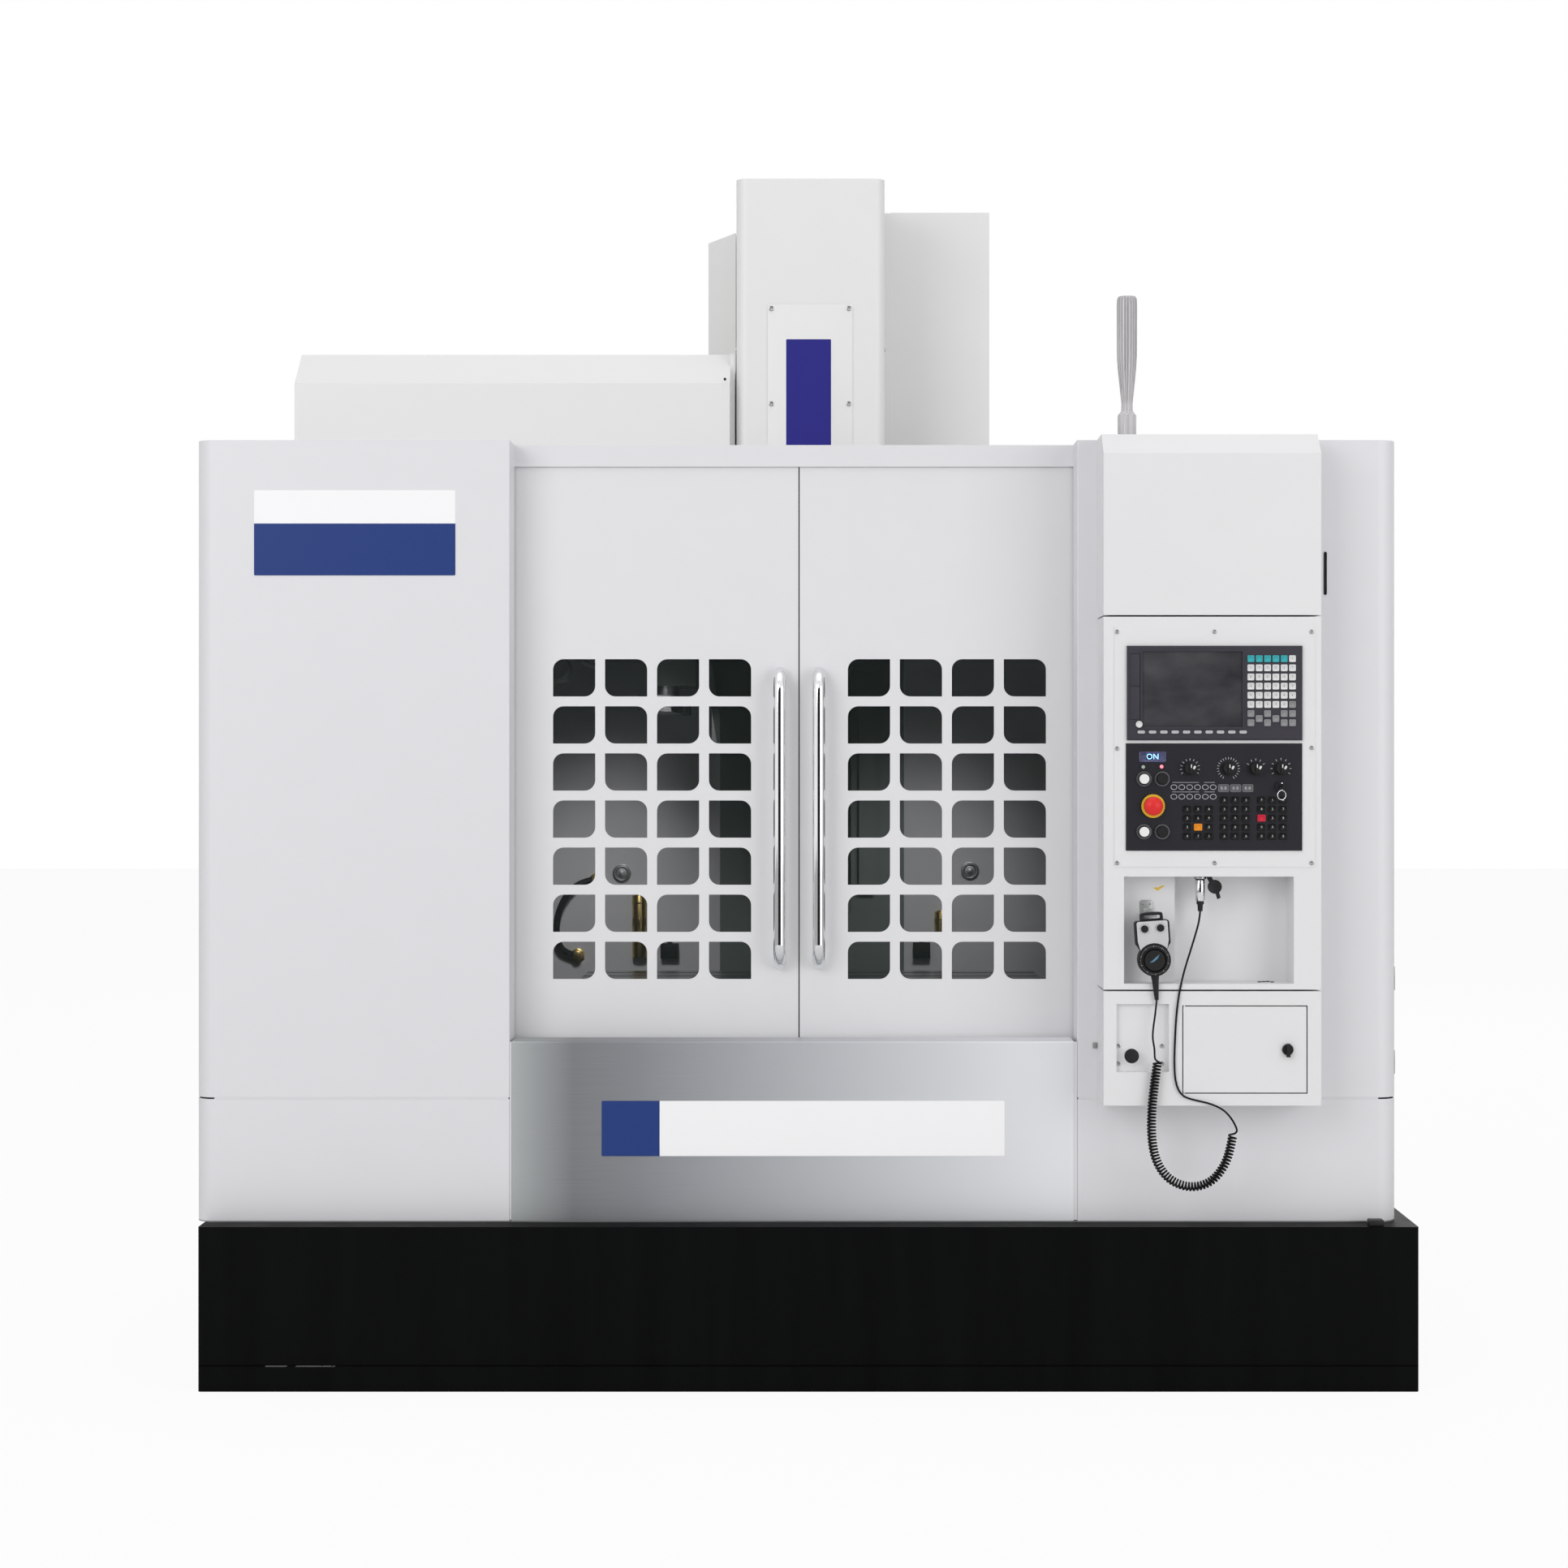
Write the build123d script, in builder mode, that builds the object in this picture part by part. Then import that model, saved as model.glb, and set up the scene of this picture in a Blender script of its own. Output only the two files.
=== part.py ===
from build123d import *
import math
import os

os.makedirs("parts", exist_ok=True)

# A vertical machining center in a sheet-metal enclosure, in millimetres.
# The front faces -Y, and the origin is under the middle of the whole machine.

# Outer shell
shell_left = -1411.5
shell_right = 1377
shell_front = -1120
shell_rear = 318
shell_top = 2191
seam_height = 665
seam_gap = 4
sheet = 3
corner_radius = 45
flange = 40
roof_hole_margin = 10
magazine_hole_margin = 62

# Coolant tank under the shell
tank_left = -1389
tank_right = 1411.5
tank_front = -1190
tank_rear = 600
tank_height = 378
tank_bay_clearance = 130
tank_line = 4

# Casting centre line and ways
axis_x = 11
spindle_y = -330
way_gap = 0.2
running_gap = 0.1
bed_bottom = 60
bed_top = 480
bed_width = 860
bed_front = -930
bed_rear = 1000
bed_wall = 32
foot_pad = 130
foot_pad_height = 22
foot_stem = 36
foot_from_side = 70
foot_from_front = 130
foot_from_rear = 100
foot_middle = 60
way_pad_height = 15
y_rail_spread = 300
y_rail_width = 45
y_rail_height = 42
block_length = 95
block_cheek = 26
block_drop = 32

# Saddle and table
saddle_length = 1400
saddle_depth = 560
saddle_thickness = 145
saddle_clearance = 8
x_rail_spread = 200
x_rail_width = 35
x_rail_height = 36
table_clearance = 14
table_length = 1200
table_depth = 600
table_top = 880
table_block_offset = 150
slot_count = 5
slot_pitch = 110
slot_width = 18
slot_depth = 32
slot_foot_width = 30
slot_foot_height = 13
x_travel = 500
y_travel = 300
z_travel = 600
screw_diameter = 40
x_screw_diameter = 32
bearing_length = 40

# Spindle head
nose_height = 1630
head_plate_width = 380
head_plate_bottom = nose_height + 70
head_plate_height = 600
head_plate_thickness = 43
head_body_width = 300
head_body_front = -470
head_body_bottom = nose_height + 130
head_body_height = 380
head_body_top = head_body_bottom + head_body_height
head_slope = 40
quill_step = 20
quill_cone = 40
quill_diameter = 220
nose_diameter = 110
shaft_diameter = 72
taper_face_diameter = 44.45
taper_length = 65
taper_rate = 7 / 24
spindle_motor_size = 210
spindle_motor_length = 400

# Column
column_width = 520
column_front = 320
column_rear = 1000
column_top = nose_height + 970
column_foot_width = 700
column_foot_height = 60
channel_width = 220
channel_depth = 110
pocket_height = 850
pocket_pitch = 400
pocket_width = 330
pocket_length = 280
pocket_round = 60
z_rail_spread = 155
z_rail_bottom = 1080
z_rail_above_nose = 700
z_rail_top = nose_height + z_rail_above_nose
z_screw_y = 372
motor_size = 150
motor_length = 210

# Head cover
cover_left = -176
cover_right = 200
cover_front = -530
cover_rear = 218
cover_bottom = 1950
cover_top = 2918
cover_sheet = 2
cover_corner = 28
bracket_low = 140
bracket_high = 40
bracket_height = 30
bracket_front = -60
bracket_rear = -20
nut_block_half = 45
nut_block_reach = 38
nut_block_height = 80
access_left = -96
access_right = 118
access_bottom = 2150
access_top = 2594

# Tool magazine and changer
pot_count = 24
pot_circle = 375
pot_across = 64
pot_bore = 46
pot_length = 110
pot_pivot_z = 1670
disc_radius = 352
disc_notch = 335
disc_thickness = 14
magazine_x = -740
hub_diameter = 120
hub_shaft = 60
frame_plate = 20
frame_gap = 26
arm_reach = (axis_x - magazine_x) / 2
arm_x = (axis_x + magazine_x) / 2
arm_bottom = 1570
arm_thickness = 40
arm_width = 90
arm_post = 44
sleeve_diameter = 70
arm_plunge = 105
gearbox_bottom = 1640
gearbox_top = 1760
gearbox_left = -410
gearbox_right = -285

# Sliding doors
door_split = -11
door_gap = 1
door_width = 690
door_bottom = 770
door_top = 2140
door_front = -1010
door_thickness = 30
door_sheet = 2.5
opening_left = -682
opening_right = 634
door_travel = 560
window_width = 99.5
window_height = 88
window_pitch_x = 122.5
window_pitch_z = 111
window_columns = 4
window_rows = 7
window_bottom = 933
window_inner_margin = 114
window_round = 25
glass_thickness = 6
handle_offset = 46
handle_diameter = 30
handle_bottom = 972
handle_top = 1654
handle_standoff = 55
handle_bend = 45
rail_slide_gap = 0.3

# Front apron
apron_left = -678
apron_right = 626
shelf_gap = 4
apron_top = 797
apron_sheet = 1.5

# Covers above the roof
magazine_cover_left = -1286
magazine_cover_right = -191
magazine_cover_front = -560
magazine_cover_rear = -125
magazine_cover_bend = 2397
magazine_cover_top = 2483
magazine_cover_slope = 100
left_cover_left = -263
left_cover_right = -190
left_cover_low = 2829
left_cover_high = 2857
right_cover_left = 225
right_cover_right = 487
right_cover_top = 2911
column_cover_front = -120

# Electrical cabinet
cabinet_width = 900
cabinet_depth = 276
cabinet_bottom = 700
cabinet_top = 1950
cabinet_sheet = 2.5
cabinet_door_depth = 18
cabinet_door_gap = 2
hinge_diameter = 12
hinge_pin = 6
hinge_length = 50
hinge_offset = 6.5

# Operator console
console_left = 681
console_right = 1174
console_front = -1268
console_top = 2193
console_bend = 2145
console_slope = 48
console_split = 1776
console_seam = 927
console_bottom = 666
console_gap = 4
console_sheet = 2
front_plate_left = 705
front_plate_right = 1160
front_plate_bottom = 1207
front_plate_top = 1755
front_plate_thickness = 2
display_left = 733
display_right = 1130
display_bottom = 1494
display_top = 1708
display_thickness = 9
screen_left = 768
screen_right = 994
screen_bottom = 1524
screen_top = 1695
screen_inset = 4
display_edge = 3
card_left = 740
card_right = 762
card_bottom = 1540
card_top = 1690
card_inset = 2
controls_left = 731
controls_right = 1130
controls_bottom = 1244
controls_top = 1487
controls_thickness = 3
recess_left = 727
recess_right = 1112
recess_bottom = 942
recess_top = 1185
recess_depth = 105
key_rise = 3
key_size = 14.7
key_pitch_across = 18.8
key_pitch_down = 20.7
key_columns = 6
key_rows = 8
display_keys_x = 1059.7
display_keys_z = 1606
soft_keys_x = 880
soft_keys_z = 1512.5
soft_key_pitch = 25.6
soft_key_width = 17
soft_key_height = 9
switch_keys_x = 884
switch_keys_z = 1377
switch_key_pitch_across = 17.7
switch_key_pitch_down = 22.4
switch_key_width = 13
panel_keys_x = 894
panel_keys_z = 1307.5
panel_keys_step = 84.1
panel_keys_rise = 10.3
panel_key_pitch_across = 24.6
panel_key_pitch_down = 20.4
panel_key_width = 19
panel_key_height = 17
button_columns = (771.5, 812.7)
button_upper_z = 1406.5
button_lower_z = 1287
knob_row_z = 1430
feed_knob_x = 876
spindle_knob_x = 963
rapid_knob_x = 1025
mode_knob_x = 1082
key_lock_x = 1080.5
key_lock_z = 1389
stop_x = 792
stop_z = 1345
readout_x = 785
readout_z = 1455
lamp_z = 1434
lamp_width = 18
lamp_height = 10
lamp_rise = 1.5
button_diameter = 28
button_rise = 14
button_press = 4
bezel_rise = 5
knob_diameter = 29
knob_rise = 20
key_slot_diameter = 24
stop_diameter = 42
stop_collar = 56
stop_press = 6
console_tip = -1300

# Lower console box
plate_recess_left = 710
plate_recess_right = 829
plate_recess_bottom = 742
plate_recess_top = 896
plate_recess_depth = 14
blank_plug_x = 744
blank_plug_z = 779
blank_plug_diameter = 32
blank_plug_rise = 4
storage_left = 859
storage_right = 1143
storage_bottom = 693
storage_top = 893
storage_gap = 2.5
storage_depth = 120
storage_pin = 3.6
storage_pivot_in = 3
storage_pivot_back = 4
latch_x = 1098
latch_z = 793
latch_diameter = 26

# Hand pendant
pendant_x = 787.5
pendant_y = -1276
pendant_top = 1087
pendant_width = 78
pendant_waist = 60
pendant_depth = 30
pendant_drop = 90
pendant_tilt = 4
pendant_bowl = 74
pendant_dial = 57
relief_length = 54
relief_top_diameter = 19
relief_diameter = 9

# Cord and plug
wire_diameter = 5
coil_diameter = 22
plug_x = 904
plug_y = -1235
plug_top = 1185
plug_length = 58
plug_body_diameter = 21
plug_tail_diameter = 13
plug_tail_length = 16

# Signal tower
tower_x = 742
tower_y = -1190
tower_diameter = 48
tower_base_diameter = 43
tower_height = 319


def block(x0, x1, y0, y1, z0, z1, mode=Mode.ADD):
    """A plain plate or bar between two corners."""
    with Locations(((x0 + x1) / 2, (y0 + y1) / 2, (z0 + z1) / 2)):
        Box(x1 - x0, y1 - y0, z1 - z0, mode=mode)


def span(a0, a1, b0, b1, mode=Mode.ADD):
    """A rectangle between two corners of a sketch."""
    with Locations(((a0 + a1) / 2, (b0 + b1) / 2)):
        Rectangle(a1 - a0, b1 - b0, mode=mode)


def facing_front(y):
    """The upright plane at y, seen from the front: x to the right, z up."""
    return Plane.XZ.offset(-y)


def facing_right(x):
    """The upright plane at x, seen from the right: y to the right, z up."""
    return Plane.YZ.offset(x)


def save(part, name):
    part.label = name
    export_step(part, f"parts/{name}.step")


# Coolant tank: a black U round the bed, closed on top
bay_left = axis_x - bed_width / 2 - tank_bay_clearance
bay_right = axis_x + bed_width / 2 + tank_bay_clearance
bay_front = bed_front - tank_line * 4
with BuildPart() as coolant_tank:
    with BuildSketch() as tank_outline:
        span(tank_left, tank_right, tank_front, tank_rear)
        span(bay_left, bay_right, bay_front, tank_rear, Mode.SUBTRACT)
    extrude(amount=tank_height)
    chamfer(coolant_tank.edges().filter_by(Axis.Z).group_by(Axis.Y)[0], tank_line)
    block(tank_left, tank_right, tank_front - 1, tank_front + tank_line, 58, 58 + tank_line, Mode.SUBTRACT)
save(coolant_tank.part, "coolant_tank")

# Levelling feet: a pad and a threaded stem under each corner and side of the bed
foot_spots = [
    (axis_x + side * (bed_width / 2 - foot_from_side), y)
    for side in (-1, 1)
    for y in (bed_front + foot_from_front, foot_middle, bed_rear - foot_from_rear)
]
with BuildPart() as levelling_feet:
    with BuildSketch():
        with Locations(*foot_spots):
            Circle(foot_pad / 2)
    extrude(amount=foot_pad_height)
    with BuildSketch(Plane.XY.offset(foot_pad_height)):
        with Locations(*foot_spots):
            RegularPolygon(foot_stem / 2, 8)
    extrude(amount=bed_bottom - foot_pad_height)
save(levelling_feet.part, "levelling_feet")

# Bed: an open-bottomed casting with two ways, the column seat and the lengthwise screw's bearings
y_rail_base = bed_top + way_pad_height
y_rail_top = y_rail_base + y_rail_height
saddle_bottom = y_rail_top + saddle_clearance
y_screw_z = (bed_top + saddle_bottom) / 2 + 17
bearing_half = screw_diameter
saddle_rear = spindle_y + y_travel + saddle_depth / 2
y_bearing_rear = column_front - 12 - bearing_length
with BuildPart() as bed:
    with BuildSketch(facing_right(axis_x)):
        with BuildLine():
            Polyline(
                (bed_front, bed_bottom),
                (bed_rear, bed_bottom),
                (bed_rear, bed_top + way_pad_height),
                (column_front, bed_top + way_pad_height),
                (column_front, bed_top),
                (bed_front + 80, bed_top),
                (bed_front, bed_top - 100),
                close=True,
            )
        make_face()
    extrude(amount=bed_width / 2, both=True)
    bay_length = (bed_rear - bed_front) / 4
    for side in (-1, 1):
        for bay in range(4):
            middle = bed_front + (bay + 0.5) * bay_length
            with BuildSketch(facing_right(axis_x + side * (bed_width / 2 + 1))):
                with Locations((middle, bed_bottom + 145)):
                    RectangleRounded(bay_length - 5 * bed_wall, 110, 40)
            extrude(amount=-side * (bed_wall + 1), mode=Mode.SUBTRACT)
    for side in (-1, 1):
        way = axis_x + side * y_rail_spread
        block(way - 45, way + 45, bed_front + 90, column_front - 20, bed_top, y_rail_base)
        half = y_rail_width / 2
        block(way - half, way + half, bed_front + 90, column_front - 50, y_rail_base, y_rail_top)
    for y in (bed_front + 82, y_bearing_rear):
        block(
            axis_x - bearing_half,
            axis_x + bearing_half,
            y,
            y + bearing_length,
            bed_top - 60,
            y_screw_z + bearing_half,
        )
    block(axis_x - 75, axis_x + 75, bed_front - 10, bed_front + 82, bed_top - 100, bed_top + 40)
    with BuildSketch(facing_front(bed_front - 20)):
        with Locations((axis_x, y_screw_z)):
            Circle(screw_diameter / 2 + running_gap)
    extrude(amount=-(column_front - bed_front + 20), mode=Mode.SUBTRACT)
save(bed.part, "bed")

# Lengthwise ball screw
y_screw_start = bed_front + 40
y_screw_end = y_bearing_rear + bearing_length
with BuildPart() as y_screw:
    with BuildSketch(facing_front(y_screw_start)):
        with Locations((axis_x, y_screw_z)):
            Circle(screw_diameter / 2)
    extrude(amount=-(y_screw_end - y_screw_start))
save(y_screw.part, "y_screw")


def guide_block(x, y, rail_top, rail_width, seat, along_x, cheek):
    """A carriage that straddles a rail, hung under the seat height."""
    half_across = rail_width / 2 + cheek
    half_long = block_length / 2
    low = rail_top - block_drop
    slot = rail_width / 2 + way_gap
    if along_x:
        block(x - half_long, x + half_long, y - half_across, y + half_across, low, seat)
        block(x - half_long, x + half_long, y - slot, y + slot, low, rail_top + way_gap, Mode.SUBTRACT)
    else:
        block(x - half_across, x + half_across, y - half_long, y + half_long, low, seat)
        block(x - slot, x + slot, y - half_long, y + half_long, low, rail_top + way_gap, Mode.SUBTRACT)


# Saddle: rides the bed's ways and carries the cross ways, the cross screw's bearings and its motor
saddle_top = saddle_bottom + saddle_thickness
x_rail_top = saddle_top + x_rail_height
table_bottom = x_rail_top + table_clearance
x_screw_z = (saddle_top + table_bottom) / 2
saddle_left = axis_x - saddle_length / 2
saddle_right = axis_x + saddle_length / 2
saddle_front = spindle_y - saddle_depth / 2
saddle_back = spindle_y + saddle_depth / 2
with BuildPart() as saddle:
    with BuildSketch(facing_front(saddle_back)):
        with BuildLine():
            Polyline(
                (axis_x - 380, saddle_bottom),
                (axis_x + 380, saddle_bottom),
                (saddle_right, saddle_top - 70),
                (saddle_right, saddle_top),
                (saddle_left, saddle_top),
                (saddle_left, saddle_top - 70),
                close=True,
            )
        make_face()
    extrude(amount=saddle_depth)
    block(
        axis_x - 60,
        axis_x + 60,
        saddle_front,
        saddle_back,
        saddle_bottom,
        y_screw_z + screw_diameter + 18,
        Mode.SUBTRACT,
    )
    block(axis_x - 60, axis_x + 60, spindle_y - 45, spindle_y + 45, y_screw_z - 30, saddle_top - 30)
    for side in (-1, 1):
        for end in (-1, 1):
            guide_block(
                axis_x + side * y_rail_spread,
                spindle_y + end * (saddle_depth / 2 - block_length / 2),
                y_rail_top,
                y_rail_width,
                saddle_bottom + 1,
                False,
                block_cheek,
            )
        rail = spindle_y + side * x_rail_spread
        half = x_rail_width / 2
        block(saddle_left, saddle_right, rail - half, rail + half, saddle_top, x_rail_top)
    with BuildSketch(facing_front(saddle_back)):
        with Locations((axis_x, y_screw_z)):
            Circle(screw_diameter / 2 + running_gap)
    extrude(amount=saddle_depth, mode=Mode.SUBTRACT)
    half = x_screw_diameter / 2 + 8
    for x in (saddle_left, saddle_right - bearing_length):
        block(x, x + bearing_length, spindle_y - half, spindle_y + half, saddle_top - 20, x_screw_z + 22)
    block(
        saddle_right,
        saddle_right + motor_length,
        spindle_y - motor_size / 2,
        spindle_y + motor_size / 2,
        x_screw_z + 22 - motor_size,
        x_screw_z + 22,
    )
    with BuildSketch(facing_right(saddle_left - 1)):
        with Locations((spindle_y, x_screw_z)):
            Circle(x_screw_diameter / 2 + running_gap)
    extrude(amount=saddle_length + 1, mode=Mode.SUBTRACT)
save(saddle.part, "saddle")

# Cross ball screw
with BuildPart() as x_screw:
    with BuildSketch(facing_right(saddle_left)):
        with Locations((spindle_y, x_screw_z)):
            Circle(x_screw_diameter / 2)
    extrude(amount=saddle_length)
save(x_screw.part, "x_screw")

# Work table with tee slots along X and ribs underneath
with BuildPart() as work_table:
    with BuildSketch(facing_right(axis_x - table_length / 2)):
        span(spindle_y - table_depth / 2, spindle_y + table_depth / 2, table_bottom + 45, table_top)
        span(spindle_y - 245, spindle_y + 245, table_bottom, table_bottom + 45)
        with Locations((spindle_y, table_top)):
            with GridLocations(slot_pitch, 1, slot_count, 1):
                Rectangle(slot_width, slot_depth * 2, mode=Mode.SUBTRACT)
                with Locations((0, slot_foot_height / 2 - slot_depth)):
                    Rectangle(slot_foot_width, slot_foot_height, mode=Mode.SUBTRACT)
    extrude(amount=table_length)
    for side in (-1, 1):
        middle = spindle_y + side * 78
        block(
            axis_x - table_length / 2 + 40,
            axis_x + table_length / 2 - 40,
            middle - 38,
            middle + 38,
            table_bottom,
            table_bottom + 60,
            Mode.SUBTRACT,
        )
        for end in (-1, 1):
            guide_block(
                axis_x + end * table_block_offset,
                spindle_y + side * x_rail_spread,
                x_rail_top,
                x_rail_width,
                table_bottom + 1,
                True,
                block_cheek - 6,
            )
    nut = x_screw_diameter / 2 + 12
    block(
        axis_x - 40,
        axis_x + 40,
        spindle_y - nut,
        spindle_y + nut,
        x_screw_z - 20,
        table_bottom + 60,
    )
    with BuildSketch(facing_right(axis_x - 41)):
        with Locations((spindle_y, x_screw_z)):
            Circle(x_screw_diameter / 2 + running_gap)
    extrude(amount=82, mode=Mode.SUBTRACT)
save(work_table.part, "work_table")

# Column: a tall casting with a channel for the vertical screw between its two ways
column_bottom = bed_top + way_pad_height
channel_back = column_front + channel_depth
column_middle = (column_front + column_rear) / 2 - 10
z_screw_bottom = z_rail_bottom - 20
with BuildPart() as column:
    with BuildSketch(facing_right(axis_x)):
        with BuildLine():
            Polyline(
                (column_front, column_bottom),
                (column_rear, column_bottom),
                (column_rear, 1500),
                (column_rear - 160, column_top),
                (column_front, column_top),
                close=True,
            )
        make_face()
    extrude(amount=column_width / 2, both=True)
    block(
        axis_x - column_foot_width / 2,
        axis_x + column_foot_width / 2,
        column_front,
        column_rear,
        column_bottom,
        column_bottom + column_foot_height,
    )
    block(
        axis_x - channel_width / 2,
        axis_x + channel_width / 2,
        column_front,
        channel_back,
        z_screw_bottom - bearing_length,
        column_top,
        Mode.SUBTRACT,
    )
    for z in (z_screw_bottom - bearing_length, column_top - bearing_length):
        block(
            axis_x - channel_width / 2,
            axis_x + channel_width / 2,
            column_front + 12,
            channel_back,
            z,
            z + bearing_length,
        )
    for side in (-1, 1):
        way = axis_x + side * z_rail_spread
        half = y_rail_width / 2
        block(
            way - half,
            way + half,
            column_front - y_rail_height,
            column_front,
            z_rail_bottom,
            z_rail_top,
        )
        for step in range(3):
            wall = axis_x + side * (column_width / 2 + 1)
            with BuildSketch(facing_right(wall)):
                with Locations((column_middle, pocket_height + step * pocket_pitch)):
                    RectangleRounded(pocket_width, pocket_length, pocket_round)
            extrude(amount=-side * 31, mode=Mode.SUBTRACT)
    with BuildSketch(Plane.XY.offset(z_screw_bottom - bearing_length)):
        with Locations((axis_x, z_screw_y)):
            Circle(screw_diameter / 2 + running_gap)
    extrude(amount=column_top - z_screw_bottom + bearing_length, mode=Mode.SUBTRACT)
    with BuildSketch(Plane.XY.offset(column_top)):
        with Locations((axis_x, z_screw_y)):
            RectangleRounded(motor_size, motor_size, 20)
    extrude(amount=motor_length)
save(column.part, "column")

# Vertical ball screw
with BuildPart() as z_screw:
    with BuildSketch(Plane.XY.offset(z_screw_bottom - bearing_length)):
        with Locations((axis_x, z_screw_y)):
            Circle(screw_diameter / 2)
    extrude(amount=column_top - z_screw_bottom + bearing_length)
save(z_screw.part, "z_screw")

# Spindle head: plate and carriages on the column's ways, body, quill housing and screw nut
plate_front = column_front - y_rail_height - 10 - head_plate_thickness
plate_rear = plate_front + head_plate_thickness
nut_z = head_plate_bottom + head_plate_height / 2
quill_bottom = nose_height + quill_step
cheek_y = column_front - y_rail_height
with BuildPart() as spindle_head:
    block(
        axis_x - head_plate_width / 2,
        axis_x + head_plate_width / 2,
        plate_front,
        plate_rear,
        head_plate_bottom,
        head_plate_bottom + head_plate_height,
    )
    with BuildSketch(facing_right(axis_x)):
        with BuildLine():
            Polyline(
                (head_body_front, head_body_bottom),
                (-180, head_body_bottom),
                (plate_front, head_body_bottom - head_slope),
                (plate_front, head_plate_bottom + head_plate_height - head_slope),
                (0, head_body_top),
                (head_body_front, head_body_top),
                close=True,
            )
        make_face()
    extrude(amount=head_body_width / 2, both=True)
    with BuildSketch(Plane.XY.offset(head_body_bottom)):
        with Locations((axis_x, spindle_y)):
            Circle(quill_diameter / 2)
    extrude(amount=-(head_body_bottom - quill_bottom - quill_cone))
    with BuildSketch(Plane.XY.offset(quill_bottom + quill_cone)):
        with Locations((axis_x, spindle_y)):
            Circle(quill_diameter / 2)
    extrude(amount=-quill_cone, taper=22)
    for side in (-1, 1):
        way = axis_x + side * z_rail_spread
        slot = y_rail_width / 2 + way_gap
        for z in (head_plate_bottom + 55, head_plate_bottom + head_plate_height - 55):
            low = z - block_length / 2
            high = z + block_length / 2
            edge = y_rail_width / 2 + 12
            block(way - edge, way + edge, plate_rear, cheek_y + block_drop, low, high)
            block(
                way - slot,
                way + slot,
                cheek_y - way_gap,
                cheek_y + block_drop,
                low,
                high,
                Mode.SUBTRACT,
            )
        inner = cover_left + cover_sheet if side < 0 else cover_right - cover_sheet
        body_side = axis_x + side * head_body_width / 2
        for z in (head_body_top - bracket_low, head_body_top - bracket_high):
            block(
                min(inner, body_side),
                max(inner, body_side),
                bracket_front,
                bracket_rear,
                z,
                z + bracket_height,
            )
    block(
        axis_x - nut_block_half,
        axis_x + nut_block_half,
        plate_rear,
        z_screw_y + nut_block_reach,
        nut_z - nut_block_height / 2,
        nut_z + nut_block_height / 2,
    )
    with BuildSketch(Plane.XY.offset(nut_z - nut_block_height / 2)):
        with Locations((axis_x, z_screw_y)):
            Circle(screw_diameter / 2 + running_gap)
    extrude(amount=80, mode=Mode.SUBTRACT)
    with BuildSketch(Plane.XY.offset(nose_height)):
        with Locations((axis_x, spindle_y)):
            Circle(shaft_diameter / 2 + running_gap)
    extrude(amount=head_body_top - nose_height, mode=Mode.SUBTRACT)
save(spindle_head.part, "spindle_head")

# Spindle shaft with its nose ring and taper bore
taper_end = taper_face_diameter / 2 - taper_length * taper_rate / 2
with BuildPart() as spindle_shaft:
    with BuildSketch(Plane.XZ.offset(-spindle_y)):
        with BuildLine():
            Polyline(
                (axis_x + taper_face_diameter / 2, nose_height),
                (axis_x + nose_diameter / 2, nose_height),
                (axis_x + nose_diameter / 2, quill_bottom - 1),
                (axis_x + shaft_diameter / 2, quill_bottom - 1),
                (axis_x + shaft_diameter / 2, head_body_top - 1),
                (axis_x, head_body_top - 1),
                (axis_x, nose_height + taper_length),
                (axis_x + taper_end, nose_height + taper_length),
                close=True,
            )
        make_face()
    revolve(axis=Axis((axis_x, spindle_y, 0), (0, 0, 1)))
    for side in (-1, 1):
        key = axis_x + side * (nose_diameter / 2 - 12)
        block(key - 9, key + 9, spindle_y - 8, spindle_y + 8, nose_height - 8, nose_height)
save(spindle_shaft.part, "spindle_shaft")

# Spindle motor on top of the head
with BuildPart() as spindle_motor:
    with BuildSketch(Plane.XY.offset(head_body_top)):
        with Locations((axis_x, spindle_y)):
            RectangleRounded(spindle_motor_size, spindle_motor_size, 30)
    extrude(amount=spindle_motor_length)
    with BuildSketch(Plane.XY.offset(head_body_top + spindle_motor_length)):
        with Locations((axis_x, spindle_y)):
            Circle(spindle_motor_size / 2 - 12)
    extrude(amount=60)
save(spindle_motor.part, "spindle_motor")

# Head cover: a folded cover, open below and behind, with the access plate on its front
with BuildPart() as head_cover:
    with BuildSketch(Plane.XY.offset(cover_bottom)):
        with BuildLine():
            FilletPolyline(
                (cover_left, cover_rear),
                (cover_left, cover_front),
                (cover_right, cover_front),
                (cover_right, cover_rear),
                radius=cover_corner,
            )
            offset(amount=cover_sheet, side=Side.LEFT)
        make_face()
    extrude(amount=cover_top - cover_bottom)
    with BuildSketch(Plane.XY.offset(cover_top - cover_sheet)):
        with BuildLine():
            outline = FilletPolyline(
                (cover_left, cover_rear),
                (cover_left, cover_front),
                (cover_right, cover_front),
                (cover_right, cover_rear),
                radius=cover_corner,
            )
            Line(outline @ 1, outline @ 0)
        make_face()
    extrude(amount=cover_sheet)
    block(
        access_left,
        access_right,
        cover_front - cover_sheet,
        cover_front,
        access_bottom,
        access_top,
    )
save(head_cover.part, "head_cover")

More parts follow.
